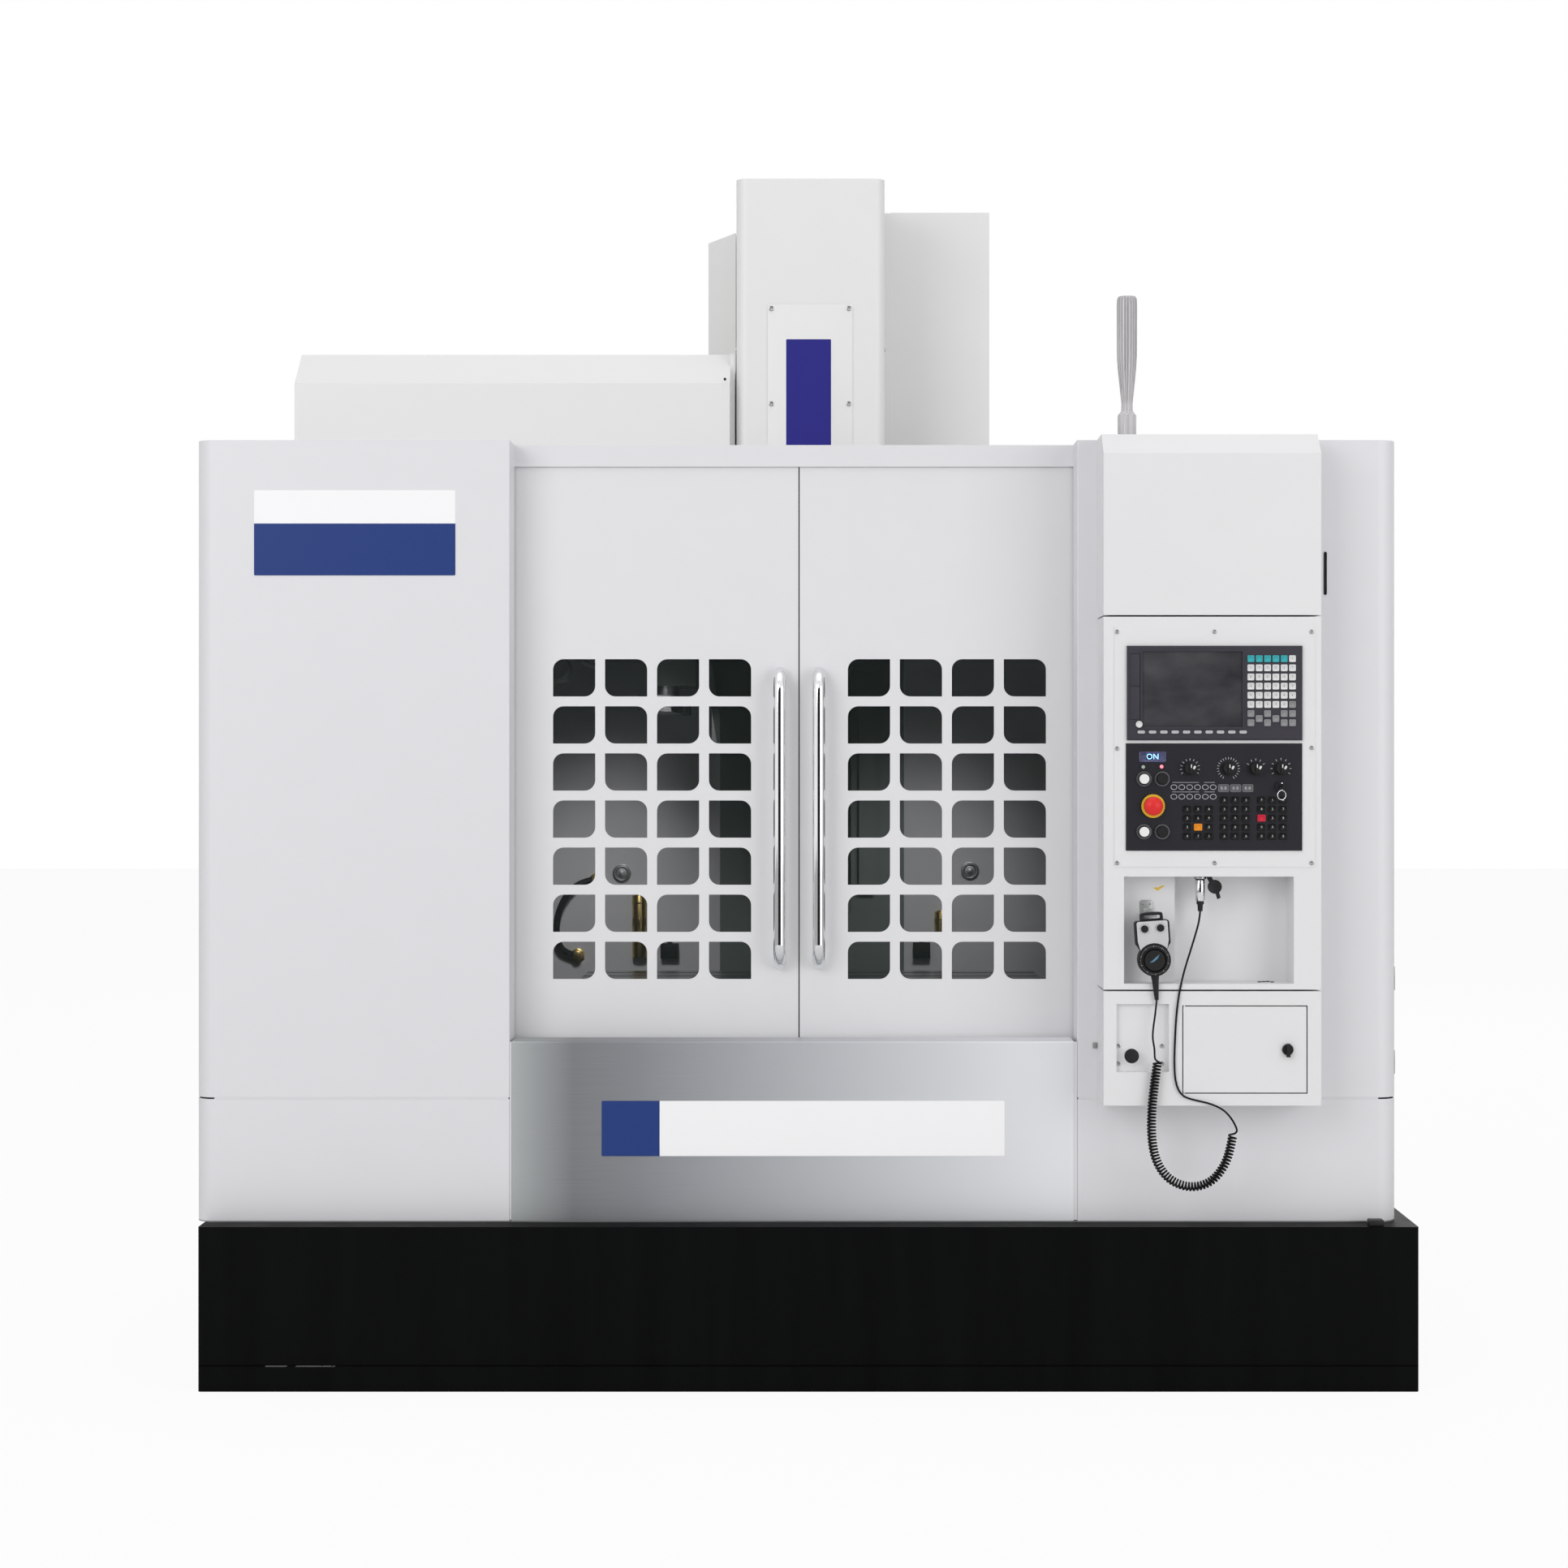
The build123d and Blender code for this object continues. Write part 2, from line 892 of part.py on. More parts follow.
# Tool magazine: a disc of tool pots on a hub shaft, with the ears that carry the change pot
magazine_z = pot_pivot_z + pot_circle
pot_front = spindle_y - pot_length / 2
pot_rear = spindle_y + pot_length / 2
disc_rear = pot_rear + disc_thickness
frame_front = disc_rear + frame_gap
frame_rear = frame_front + frame_plate
ear_thickness = 6
ear_gap = 0.3
pin_diameter = 14
pot_step = 2 * math.pi / pot_count
pot_spots = [
    (
        magazine_x + pot_circle * math.sin(turn * pot_step),
        magazine_z - pot_circle * math.cos(turn * pot_step),
    )
    for turn in range(1, pot_count)
]
ear_inner = pot_across / 2 + ear_gap
with BuildPart() as tool_magazine:
    with BuildSketch(facing_front(disc_rear)):
        with Locations((magazine_x, magazine_z)):
            Circle(disc_radius)
            with PolarLocations(disc_radius * 0.62, 8):
                Circle(disc_radius * 0.17, mode=Mode.SUBTRACT)
        span(
            magazine_x - ear_inner - ear_thickness,
            magazine_x + ear_inner + ear_thickness,
            pot_pivot_z,
            magazine_z - disc_notch,
            Mode.SUBTRACT,
        )
    extrude(amount=disc_thickness)
    with BuildSketch(facing_front(pot_rear)):
        with Locations(*pot_spots):
            RegularPolygon(pot_across / 2, 8, major_radius=False)
            RegularPolygon(pot_bore / 2, 8, major_radius=False, mode=Mode.SUBTRACT)
    extrude(amount=pot_length)
    for side in (-1, 1):
        with BuildSketch(facing_right(magazine_x + side * ear_inner)):
            with BuildLine():
                Polyline(
                    (pot_rear, magazine_z - disc_notch + 30),
                    (pot_rear, magazine_z - disc_notch),
                    (spindle_y + 20, pot_pivot_z - 14),
                    (spindle_y - 14, pot_pivot_z - 14),
                    (spindle_y - 14, pot_pivot_z + 14),
                    (spindle_y + 20, magazine_z - disc_notch + 30),
                    close=True,
                )
            make_face()
            with Locations((spindle_y, pot_pivot_z)):
                Circle(pin_diameter / 2 + running_gap, mode=Mode.SUBTRACT)
        extrude(amount=side * ear_thickness)
    with BuildSketch(facing_front(frame_front - running_gap)):
        with Locations((magazine_x, magazine_z)):
            Circle(hub_diameter / 2)
    extrude(amount=frame_gap - running_gap)
    with BuildSketch(facing_front(frame_rear + 12)):
        with Locations((magazine_x, magazine_z)):
            Circle(hub_shaft / 2)
    extrude(amount=frame_plate + frame_gap + 12)
save(tool_magazine.part, "tool_magazine")

# Change pot: hangs in the ears on two pins and tips its mouth down to the arm
with BuildPart() as change_pot:
    with BuildSketch(facing_front(pot_rear)):
        with Locations((magazine_x, pot_pivot_z)):
            RegularPolygon(pot_across / 2, 8, major_radius=False, rotation=22.5)
    extrude(amount=pot_length)
    for side in (-1, 1):
        with BuildSketch(facing_right(magazine_x + side * pot_across / 2)):
            with Locations((spindle_y, pot_pivot_z)):
                Circle(pin_diameter / 2)
        extrude(amount=side * (ear_gap + ear_thickness))
    with BuildSketch(facing_front(pot_front)):
        with Locations((magazine_x, pot_pivot_z)):
            RegularPolygon(pot_bore / 2, 8, major_radius=False, rotation=22.5)
    extrude(amount=-pot_length * 0.8, taper=12, mode=Mode.SUBTRACT)
save(change_pot.part, "change_pot")

# Changer frame: the plate that carries the magazine, bolted to the column, and the arm's gearbox
column_side = axis_x - column_width / 2
side_plate = column_side - frame_plate
frame_low = 1700
frame_high = 2150
with BuildPart() as changer_frame:
    with BuildSketch(facing_front(frame_rear)):
        with BuildLine():
            Polyline(
                (magazine_x - 70, magazine_z + 90),
                (magazine_x + 70, magazine_z + 90),
                (side_plate, frame_high),
                (side_plate, frame_low),
                (magazine_x + 70, magazine_z - 110),
                (magazine_x - 70, magazine_z - 110),
                close=True,
            )
        make_face()
        with Locations((magazine_x, magazine_z)):
            Circle(hub_shaft / 2 + running_gap, mode=Mode.SUBTRACT)
    extrude(amount=frame_plate)
    with BuildSketch(facing_right(side_plate)):
        with BuildLine():
            Polyline(
                (frame_front, frame_low),
                (column_rear - 400, frame_low - 200),
                (column_rear - 400, frame_high),
                (frame_front, frame_high),
                close=True,
            )
        make_face()
    extrude(amount=frame_plate)
    block(gearbox_left, gearbox_right, spindle_y - 60, frame_front, gearbox_bottom, gearbox_top)
    block(gearbox_left, gearbox_right, frame_rear, frame_rear + 150, gearbox_bottom, gearbox_top + 160)
    block(gearbox_left, gearbox_right, frame_front, frame_rear, gearbox_bottom, gearbox_top)
    with BuildSketch(Plane.XY.offset(gearbox_bottom)):
        with Locations((arm_x, spindle_y)):
            Circle(sleeve_diameter / 2 + running_gap)
    extrude(amount=gearbox_top - gearbox_bottom - 10, mode=Mode.SUBTRACT)
save(changer_frame.part, "changer_frame")

# Sleeve that plunges out of the gearbox, and the double arm that swings in it
sleeve_bottom = arm_bottom + arm_thickness + 1
sleeve_top = gearbox_top - 12
with BuildPart() as arm_sleeve:
    with BuildSketch(Plane.XY.offset(sleeve_bottom)):
        with Locations((arm_x, spindle_y)):
            Circle(sleeve_diameter / 2)
            Circle(arm_post / 2 + running_gap, mode=Mode.SUBTRACT)
    extrude(amount=sleeve_top - sleeve_bottom)
save(arm_sleeve.part, "arm_sleeve")

grip_radius = pot_across / 2 + 2
with BuildPart() as exchange_arm:
    with BuildSketch(Plane.XY.offset(arm_bottom)):
        with Locations((arm_x, spindle_y)):
            Circle(arm_width * 0.62)
            Rectangle(arm_width * 0.7, arm_reach * 2 - grip_radius)
        for side in (-1, 1):
            mouth = Align.MAX if side > 0 else Align.MIN
            with Locations((arm_x, spindle_y + side * arm_reach)):
                Circle(grip_radius + 14)
                Circle(grip_radius, mode=Mode.SUBTRACT)
                Rectangle(
                    grip_radius * 3,
                    grip_radius * 3,
                    align=(mouth, Align.CENTER),
                    mode=Mode.SUBTRACT,
                )
    extrude(amount=arm_thickness)
    with BuildSketch(Plane.XY.offset(arm_bottom + arm_thickness)):
        with Locations((arm_x, spindle_y)):
            Circle(arm_post / 2)
    extrude(amount=sleeve_top - arm_bottom - arm_thickness)
save(exchange_arm.part, "exchange_arm")

# Chip pan: floor on the tank, and the front wall and shelf that carry the doors' lower channel
pan_floor = tank_height + sheet
wall_front = door_front - sheet
shelf_top = door_bottom - 3 - sheet
shelf_rear = door_front + door_thickness + sheet
bed_left = axis_x - bed_width / 2
bed_right = axis_x + bed_width / 2
with BuildPart() as chip_pan:
    with BuildSketch(Plane.XY.offset(tank_height)):
        span(shell_left, shell_right, shell_front, shell_rear)
        fillet(vertices().group_by(Axis.Y)[0], corner_radius)
        span(bed_left - 4, bed_right + 4, bed_front - 20, shell_rear, Mode.SUBTRACT)
    extrude(amount=sheet)
    left = shell_left + flange + 2
    right = shell_right - flange - 2
    block(left, right, wall_front, door_front, pan_floor, shelf_top)
    block(left, right, wall_front, shelf_rear, shelf_top - sheet, shelf_top)
save(chip_pan.part, "chip_pan")

# Door rails: the upper rail hung under the roof, and the lower channel on the pan's shelf
rail_left = shell_left + flange + 2
rail_right = shell_right - flange - 2
roof_under = shell_top - sheet
hook_lip = door_top + 19
rail_foot_top = hook_lip - rail_slide_gap
channel_gap = 0.5
with BuildPart() as door_rails:
    with BuildSketch(facing_right(rail_left)):
        with BuildLine():
            Polyline(
                (door_front + 11, rail_foot_top),
                (door_front + 11, rail_foot_top - sheet),
                (door_front + 27, rail_foot_top - sheet),
                (door_front + 27, roof_under),
                (door_front + 24, roof_under),
                (door_front + 24, rail_foot_top),
                close=True,
            )
        make_face()
        inner_front = door_front - channel_gap
        inner_rear = door_front + door_thickness + channel_gap
        span(inner_front - sheet, inner_rear + sheet, shelf_top, shelf_top + sheet)
        span(inner_front - sheet, inner_front, shelf_top, door_bottom + 12)
        span(inner_rear, inner_rear + sheet, shelf_top, door_bottom + 12)
    extrude(amount=rail_right - rail_left)
save(door_rails.part, "door_rails")

# Front panels: upper and lower folded sheets each side of the doorway
return_rear = door_front - 6
side_joint = shell_front + 82
lower_top = seam_height - seam_gap / 2
upper_bottom = seam_height + seam_gap / 2


def front_panel(outer, inner, name):
    """The two sheets of one side, with a round corner outside and a return wall at the doorway."""
    with BuildPart() as panel:
        for low, high in ((pan_floor, lower_top), (upper_bottom, shell_top)):
            with BuildSketch(Plane.XY.offset(low)):
                with BuildLine():
                    FilletPolyline(
                        (outer, side_joint),
                        (outer, shell_front),
                        (inner, shell_front),
                        (inner, return_rear),
                        radius=[corner_radius, sheet + 0.2],
                    )
                    offset(amount=sheet, side=Side.LEFT if outer < inner else Side.RIGHT)
                make_face()
            extrude(amount=high - low)
    save(panel.part, name)


front_panel(shell_left, opening_left, "left_front_panel")
front_panel(shell_right, opening_right, "right_front_panel")

# Side and rear panels, with the rear ones cut round the bed and the changer frame
side_front = side_joint + 2
with BuildPart() as shell_panels:
    for outer, inward in ((shell_left, 1), (shell_right, -1)):
        for low, high, edge in ((pan_floor, lower_top, pan_floor), (upper_bottom, roof_under, roof_under)):
            inner = outer + inward * sheet
            block(min(outer, inner), max(outer, inner), side_front, shell_rear, low, high)
            tip = outer + inward * flange
            lip_low = low if edge == low else high - sheet
            block(
                min(outer, tip),
                max(outer, tip),
                side_front,
                shell_rear,
                lip_low,
                lip_low + sheet,
            )
    with BuildSketch(facing_front(shell_rear)):
        span(shell_left + sheet, axis_x - column_width / 2, pan_floor, roof_under)
        span(axis_x + column_width / 2, shell_right - sheet, pan_floor, roof_under)
        span(bed_left - 3, bed_right + 3, pan_floor, bed_top + way_pad_height + 4, Mode.SUBTRACT)
        span(side_plate - 3, column_side, frame_low - 200, frame_high + 5, Mode.SUBTRACT)
    extrude(amount=sheet)
save(shell_panels.part, "shell_panels")

# Roof: a sheet between the panels, open for the head cover and the magazine, lipped over the doorway
with BuildPart() as roof_panel:
    with BuildSketch(Plane.XY.offset(roof_under)):
        span(shell_left + sheet, shell_right - sheet, shell_front + sheet, shell_rear)
        fillet(vertices().group_by(Axis.Y)[0], corner_radius - sheet)
        notch = sheet + running_gap * 2
        span(opening_left - notch, opening_right + notch, shell_front, return_rear, Mode.SUBTRACT)
        span(
            cover_left - roof_hole_margin,
            cover_right + roof_hole_margin,
            cover_front - roof_hole_margin,
            shell_rear,
            Mode.SUBTRACT,
        )
        span(
            magazine_x - pot_circle - magazine_hole_margin,
            magazine_x + pot_circle + magazine_hole_margin,
            pot_front - roof_hole_margin,
            frame_front - roof_hole_margin,
            Mode.SUBTRACT,
        )
    extrude(amount=sheet)
    block(opening_left, opening_right, return_rear, return_rear + sheet, shell_top - 51, shell_top)
save(roof_panel.part, "roof_panel")

# Stainless apron below the doors, folded back over their lower edge
with BuildPart() as apron:
    with BuildSketch(facing_right(apron_left)):
        with BuildLine():
            FilletPolyline(
                (shell_front, pan_floor),
                (shell_front, apron_top),
                (return_rear - 4, apron_top),
                (return_rear - 4, apron_top - 14),
                radius=4,
            )
            offset(amount=apron_sheet, side=Side.RIGHT)
        make_face()
    extrude(amount=apron_right - apron_left)
save(apron.part, "apron")

# Magazine cover: a folded hood standing on the roof
with BuildPart() as magazine_cover:
    with BuildSketch(facing_right(magazine_cover_left)):
        with BuildLine():
            Polyline(
                (magazine_cover_front, shell_top),
                (magazine_cover_front, magazine_cover_bend),
                (magazine_cover_front + magazine_cover_slope, magazine_cover_top),
                (magazine_cover_rear, magazine_cover_top),
                (magazine_cover_rear, shell_top),
                close=True,
            )
        make_face()
    extrude(amount=magazine_cover_right - magazine_cover_left)
    offset(amount=-cover_sheet, openings=magazine_cover.faces().sort_by(Axis.Z)[0])
save(magazine_cover.part, "magazine_cover")

# Covers beside the head, standing on the roof and bolted to the column's front face
with BuildPart() as column_side_covers:
    with BuildSketch(facing_front(column_front)):
        with BuildLine():
            Polyline(
                (left_cover_left, shell_top),
                (left_cover_right, shell_top),
                (left_cover_right, left_cover_high),
                (left_cover_left, left_cover_low),
                close=True,
            )
        make_face()
        span(right_cover_left, right_cover_right, shell_top, right_cover_top)
    extrude(amount=column_front - column_cover_front)
    hollow = column_cover_front + cover_sheet
    block(
        left_cover_left + cover_sheet,
        left_cover_right - cover_sheet,
        hollow,
        column_front,
        shell_top,
        left_cover_low - cover_sheet * 4,
        Mode.SUBTRACT,
    )
    block(
        right_cover_left + cover_sheet,
        right_cover_right - cover_sheet,
        hollow,
        column_front,
        shell_top,
        right_cover_top - cover_sheet,
        Mode.SUBTRACT,
    )
save(column_side_covers.part, "column_side_covers")

# Electrical cabinet on the column's back, with its mounting plate and drive modules
cabinet_left = axis_x - cabinet_width / 2
cabinet_right = axis_x + cabinet_width / 2
cabinet_rear = column_rear + cabinet_depth
hinge_axis = (cabinet_left - hinge_offset, cabinet_rear + cabinet_door_gap / 2)
hinge_heights = (cabinet_bottom + 150, cabinet_top - 250)
with BuildPart() as electrical_cabinet:
    block(cabinet_left, cabinet_right, column_rear, cabinet_rear, cabinet_bottom, cabinet_top)
    offset(amount=-cabinet_sheet, openings=electrical_cabinet.faces().sort_by(Axis.Y)[-1])
    board = column_rear + cabinet_sheet + 20
    block(cabinet_left + 40, cabinet_right - 40, column_rear + 1, board, cabinet_bottom + 60, cabinet_top - 60)
    for module in range(5):
        x = cabinet_left + 80 + module * 125
        block(x, x + 90, board, board + 170, cabinet_top - 480, cabinet_top - 120)
    for row in range(2):
        z = cabinet_bottom + 130 + row * 260
        block(cabinet_left + 80, cabinet_right - 80, board, board + 80, z, z + 110)
    for low in hinge_heights:
        with BuildSketch(Plane.XY.offset(low)):
            with Locations(hinge_axis):
                Circle(hinge_diameter / 2)
            span(hinge_axis[0], cabinet_left + 1, cabinet_rear - 2, cabinet_rear)
            with Locations(hinge_axis):
                Circle(hinge_pin / 2 + running_gap, mode=Mode.SUBTRACT)
        extrude(amount=hinge_length)
save(electrical_cabinet.part, "electrical_cabinet")

# Cabinet door on a hinge at the left of the machine's back, seen from the front
door_face = cabinet_rear + cabinet_door_gap
with BuildPart() as cabinet_door:
    block(
        cabinet_left,
        cabinet_right,
        door_face,
        door_face + cabinet_door_depth - cabinet_door_gap,
        cabinet_bottom,
        cabinet_top,
    )
    offset(amount=-cabinet_sheet, openings=cabinet_door.faces().sort_by(Axis.Y)[0])
    grip_rear = cabinet_rear + cabinet_door_depth
    block(cabinet_right - 70, cabinet_right - 40, grip_rear - 1, grip_rear + 6, 1200, 1400)
    for low in hinge_heights:
        with BuildSketch(Plane.XY.offset(low + hinge_length + running_gap)):
            with Locations(hinge_axis):
                Circle(hinge_diameter / 2)
            span(hinge_axis[0], cabinet_left + cabinet_sheet, door_face, door_face + 2)
        extrude(amount=hinge_length)
        with BuildSketch(Plane.XY.offset(low)):
            with Locations(hinge_axis):
                Circle(hinge_pin / 2)
        extrude(amount=hinge_length + 1)
save(cabinet_door.part, "cabinet_door")

# Sliding doors: folded leaves with a grid of window openings and hooks over the upper rail
hook_width = 110
window_depth = door_thickness - door_sheet


def window_place(side, column, row):
    """The middle of one window; columns count outwards from the split."""
    near = door_split + side * (window_inner_margin + window_width / 2)
    x = near + side * column * window_pitch_x
    z = window_bottom + window_height / 2 + row * window_pitch_z
    return x, z


def door_leaf(side, name):
    near = door_split + side * door_gap / 2
    far = door_split + side * door_width
    left, right = min(near, far), max(near, far)
    rear = door_front + door_thickness
    with BuildPart() as leaf:
        block(left, right, door_front, rear, door_bottom, door_top)
        offset(amount=-door_sheet, openings=leaf.faces().sort_by(Axis.Y)[-1])
        with BuildSketch(facing_front(rear)):
            for column in range(window_columns):
                for row in range(window_rows):
                    x, z = window_place(side, column, row)
                    with BuildLine():
                        across = window_width / 2
                        up = window_height / 2
                        # Opposite corners are round, and each column mirrors its neighbour
                        lean = 1 if (column % 2 == 0) == (side > 0) else -1
                        Line((x - lean * across, z - up), (x - lean * across, z + up - window_round))
                        Line((x - lean * (across - window_round), z + up), (x + lean * across, z + up))
                        Line((x + lean * across, z + up), (x + lean * across, z - up + window_round))
                        Line((x + lean * (across - window_round), z - up), (x - lean * across, z - up))
                        RadiusArc(
                            (x - lean * across, z + up - window_round),
                            (x - lean * (across - window_round), z + up),
                            lean * window_round,
                        )
                        RadiusArc(
                            (x + lean * across, z - up + window_round),
                            (x + lean * (across - window_round), z - up),
                            lean * window_round,
                        )
                    make_face()
        extrude(amount=door_thickness + 1, mode=Mode.SUBTRACT)
        for end in (left + 60, right - 60 - hook_width):
            block(end, end + hook_width, door_front + 4, door_front + 8, door_top, hook_lip + 4)
            block(end, end + hook_width, door_front + 8, door_front + 20, hook_lip, hook_lip + 4)
    save(leaf.part, name)


def door_glass(side, name):
    """One pane behind all the windows of a leaf, against the front sheet."""
    edge = 20
    x0, z0 = window_place(side, 0, 0)
    x1, z1 = window_place(side, window_columns - 1, window_rows - 1)
    half_x = window_width / 2 + edge
    half_z = window_height / 2 + edge
    with BuildPart() as pane:
        front = door_front + door_sheet
        block(
            min(x0, x1) - half_x,
            max(x0, x1) + half_x,
            front,
            front + glass_thickness,
            z0 - half_z,
            z1 + half_z,
        )
    save(pane.part, name)


def door_handle(side, name):
    """A tube bent at both ends into the leaf's front sheet."""
    x = door_split + side * handle_offset
    out = door_front - handle_standoff
    with BuildPart() as handle:
        with BuildLine():
            bar = FilletPolyline(
                (x, door_front, handle_bottom),
                (x, out, handle_bottom),
                (x, out, handle_top),
                (x, door_front, handle_top),
                radius=handle_bend,
            )
        with BuildSketch(Plane(origin=bar @ 0, z_dir=bar % 0)):
            Circle(handle_diameter / 2)
        sweep()
    save(handle.part, name)


for door_side, word in ((-1, "left"), (1, "right")):
    door_leaf(door_side, f"{word}_door")
    door_glass(door_side, f"{word}_door_glass")
    door_handle(door_side, f"{word}_door_handle")

# Console upper cover: a hood with a sloped top
with BuildPart() as upper_box_cover:
    with BuildSketch(facing_right(console_left)):
        with BuildLine():
            Polyline(
                (shell_front, console_split + console_gap / 2),
                (console_front, console_split + console_gap / 2),
                (console_front, console_bend),
                (console_front + console_slope, console_top),
                (shell_front, console_top),
                close=True,
            )
        make_face()
    extrude(amount=console_right - console_left)
    offset(amount=-console_sheet, openings=upper_box_cover.faces().sort_by(Axis.Y)[-1])
save(upper_box_cover.part, "upper_box_cover")

# Console housing: cut for the display and controls, with the pendant's recess, bracket and socket
recess_back = console_front + recess_depth
shelf_left = 850
shelf_back = console_front + 66
hook_left = 771
hook_right = 799
hook_low = 1097.6
hook_high = 1128
bail_y = pendant_y + 2
socket_diameter = 24
cap_diameter = 30
cut_margin = 12
with BuildPart() as panel_housing:
    block(
        console_left,
        console_right,
        console_front,
        shell_front,
        console_seam + 2,
        console_split - console_gap / 2,
    )
    offset(amount=-console_sheet, openings=panel_housing.faces().sort_by(Axis.Y)[-1])
    block(
        front_plate_left,
        front_plate_right,
        console_front - front_plate_thickness,
        console_front,
        front_plate_bottom,
        front_plate_top,
    )
    block(
        recess_left - console_sheet,
        recess_right + console_sheet,
        console_front,
        recess_back + console_sheet,
        recess_bottom - console_sheet,
        recess_top + console_sheet,
    )
    block(
        recess_left,
        recess_right,
        console_front - 1,
        recess_back,
        recess_bottom,
        recess_top,
        Mode.SUBTRACT,
    )
    block(recess_left, shelf_left, shelf_back, recess_back, recess_bottom, recess_top)
    behind = console_front + console_sheet
    for left, right, bottom, top in (
        (display_left, display_right, display_bottom, display_top),
        (controls_left, controls_right, controls_bottom, controls_top),
    ):
        block(
            left + cut_margin,
            right - cut_margin,
            console_front - front_plate_thickness,
            behind,
            bottom + cut_margin,
            top - cut_margin,
            Mode.SUBTRACT,
        )
    block(hook_left, hook_right, shelf_back - 2, shelf_back, hook_low - 20, hook_high)
    block(hook_left, hook_right, bail_y + 1, shelf_back, hook_low - 2, hook_low)
    block(hook_left, hook_right, bail_y - 7, bail_y + 1, hook_low - 2, hook_low)
    block(hook_left, hook_right, bail_y - 7, bail_y - 5, hook_low - 2, hook_low + 16)
    with BuildSketch(Plane.XY.offset(recess_top)):
        with Locations((plug_x, plug_y)):
            RegularPolygon(socket_diameter / 2, 12)
    extrude(amount=-6)
    with BuildSketch(facing_front(plug_y - 4)):
        with Locations((plug_x + 32, recess_top - 24)):
            RegularPolygon(cap_diameter / 2, 14)
        with BuildLine():
            Polyline(
                (plug_x + 14, recess_top),
                (plug_x + 24, recess_top),
                (plug_x + 30, recess_top - 14),
                (plug_x + 24, recess_top - 18),
                close=True,
            )
        make_face()
        with BuildLine():
            Polyline(
                (plug_x + 34, recess_top - 34),
                (plug_x + 40, recess_top - 34),
                (plug_x + 44, recess_top - 46),
                (plug_x + 38, recess_top - 48),
                close=True,
            )
        make_face()
    extrude(amount=8)
save(panel_housing.part, "panel_housing")

# Display unit with its sunk screen
display_face = console_front - front_plate_thickness - display_thickness
with BuildPart() as display_unit:
    block(
        display_left,
        display_right,
        display_face,
        console_front - front_plate_thickness,
        display_bottom,
        display_top,
    )
    chamfer(display_unit.faces().sort_by(Axis.Y)[0].edges(), display_edge)
    block(
        screen_left,
        screen_right,
        display_face - 1,
        display_face + screen_inset,
        screen_bottom,
        screen_top,
        Mode.SUBTRACT,
    )
    block(
        card_left,
        card_right,
        display_face - 1,
        display_face + card_inset,
        card_bottom,
        card_top,
        Mode.SUBTRACT,
    )
save(display_unit.part, "display_unit")

# Operator panel: bezels of its buttons and bores for everything that moves in it
controls_face = console_front - front_plate_thickness - controls_thickness
button_bore = button_diameter / 2 - 3
button_spots = {
    "feed_start_button": (button_columns[0], button_upper_z),
    "feed_hold_button": (button_columns[1], button_upper_z),
    "power_on_button": (button_columns[0], button_lower_z),
    "power_off_button": (button_columns[1], button_lower_z),
}
knob_spots = {
    "feed_override_knob": (feed_knob_x, knob_row_z),
    "spindle_override_knob": (spindle_knob_x, knob_row_z),
    "rapid_override_knob": (rapid_knob_x, knob_row_z),
    "mode_knob": (mode_knob_x, knob_row_z),
}
lamp_spots = (
    (readout_x, readout_z),
    (button_columns[0], lamp_z),
    (button_columns[1], lamp_z),
)
knob_shaft = 8
stem_diameter = 20
with BuildPart() as operator_panel:
    block(
        controls_left,
        controls_right,
        controls_face,
        console_front - front_plate_thickness,
        controls_bottom,
        controls_top,
    )
    with BuildSketch(facing_front(controls_face)):
        with Locations(*button_spots.values()):
            Circle(button_diameter / 2)
        with Locations((key_lock_x, key_lock_z)):
            Circle(key_slot_diameter / 2)
        with Locations((stop_x, stop_z)):
            Circle(stop_collar / 2)
    extrude(amount=bezel_rise)
    with BuildSketch(facing_front(console_front)):
        with Locations(*button_spots.values()):
            Circle(button_bore + 0.3)
        with Locations(*knob_spots.values()):
            Circle(knob_shaft / 2 + running_gap)
        with Locations((key_lock_x, key_lock_z)):
            Circle(knob_shaft / 2 + running_gap)
        with Locations((stop_x, stop_z)):
            Circle(stem_diameter / 2 + 0.3)
    extrude(amount=console_front - controls_face + bezel_rise + 1, mode=Mode.SUBTRACT)
    with BuildSketch(facing_front(controls_face)):
        with Locations(*lamp_spots):
            Rectangle(lamp_width, lamp_height)
    extrude(amount=lamp_rise)
save(operator_panel.part, "operator_panel")

for name, (x, z) in button_spots.items():
    with BuildPart() as button:
        with BuildSketch(facing_front(console_front + 6)):
            with Locations((x, z)):
                Circle(button_bore)
        extrude(amount=console_front + 6 - controls_face + button_rise)
    save(button.part, name)

for name, (x, z) in knob_spots.items():
    with BuildPart() as knob:
        with BuildSketch(facing_front(console_front + 6)):
            with Locations((x, z)):
                Circle(knob_shaft / 2)
        extrude(amount=console_front + 6 - controls_face + 2)
        with BuildSketch(facing_front(controls_face - 0.3)):
            with Locations((x, z)):
                Circle(knob_diameter / 2)
        extrude(amount=knob_rise - 0.3, taper=5)
        block(x - 3, x + 3, controls_face - knob_rise - 4, controls_face - 4, z - 10, z + 10)
    save(knob.part, name)

# Program key in its lock
with BuildPart() as program_key:
    with BuildSketch(facing_front(console_front + 6)):
        with Locations((key_lock_x, key_lock_z)):
            Circle(knob_shaft / 2)
    extrude(amount=console_front + 6 - controls_face + bezel_rise + 4)
    with BuildSketch(facing_right(key_lock_x - 1.5)):
        with Locations((controls_face - bezel_rise - 11, key_lock_z)):
            RectangleRounded(16, 20, 4)
    extrude(amount=3)
save(program_key.part, "program_key")

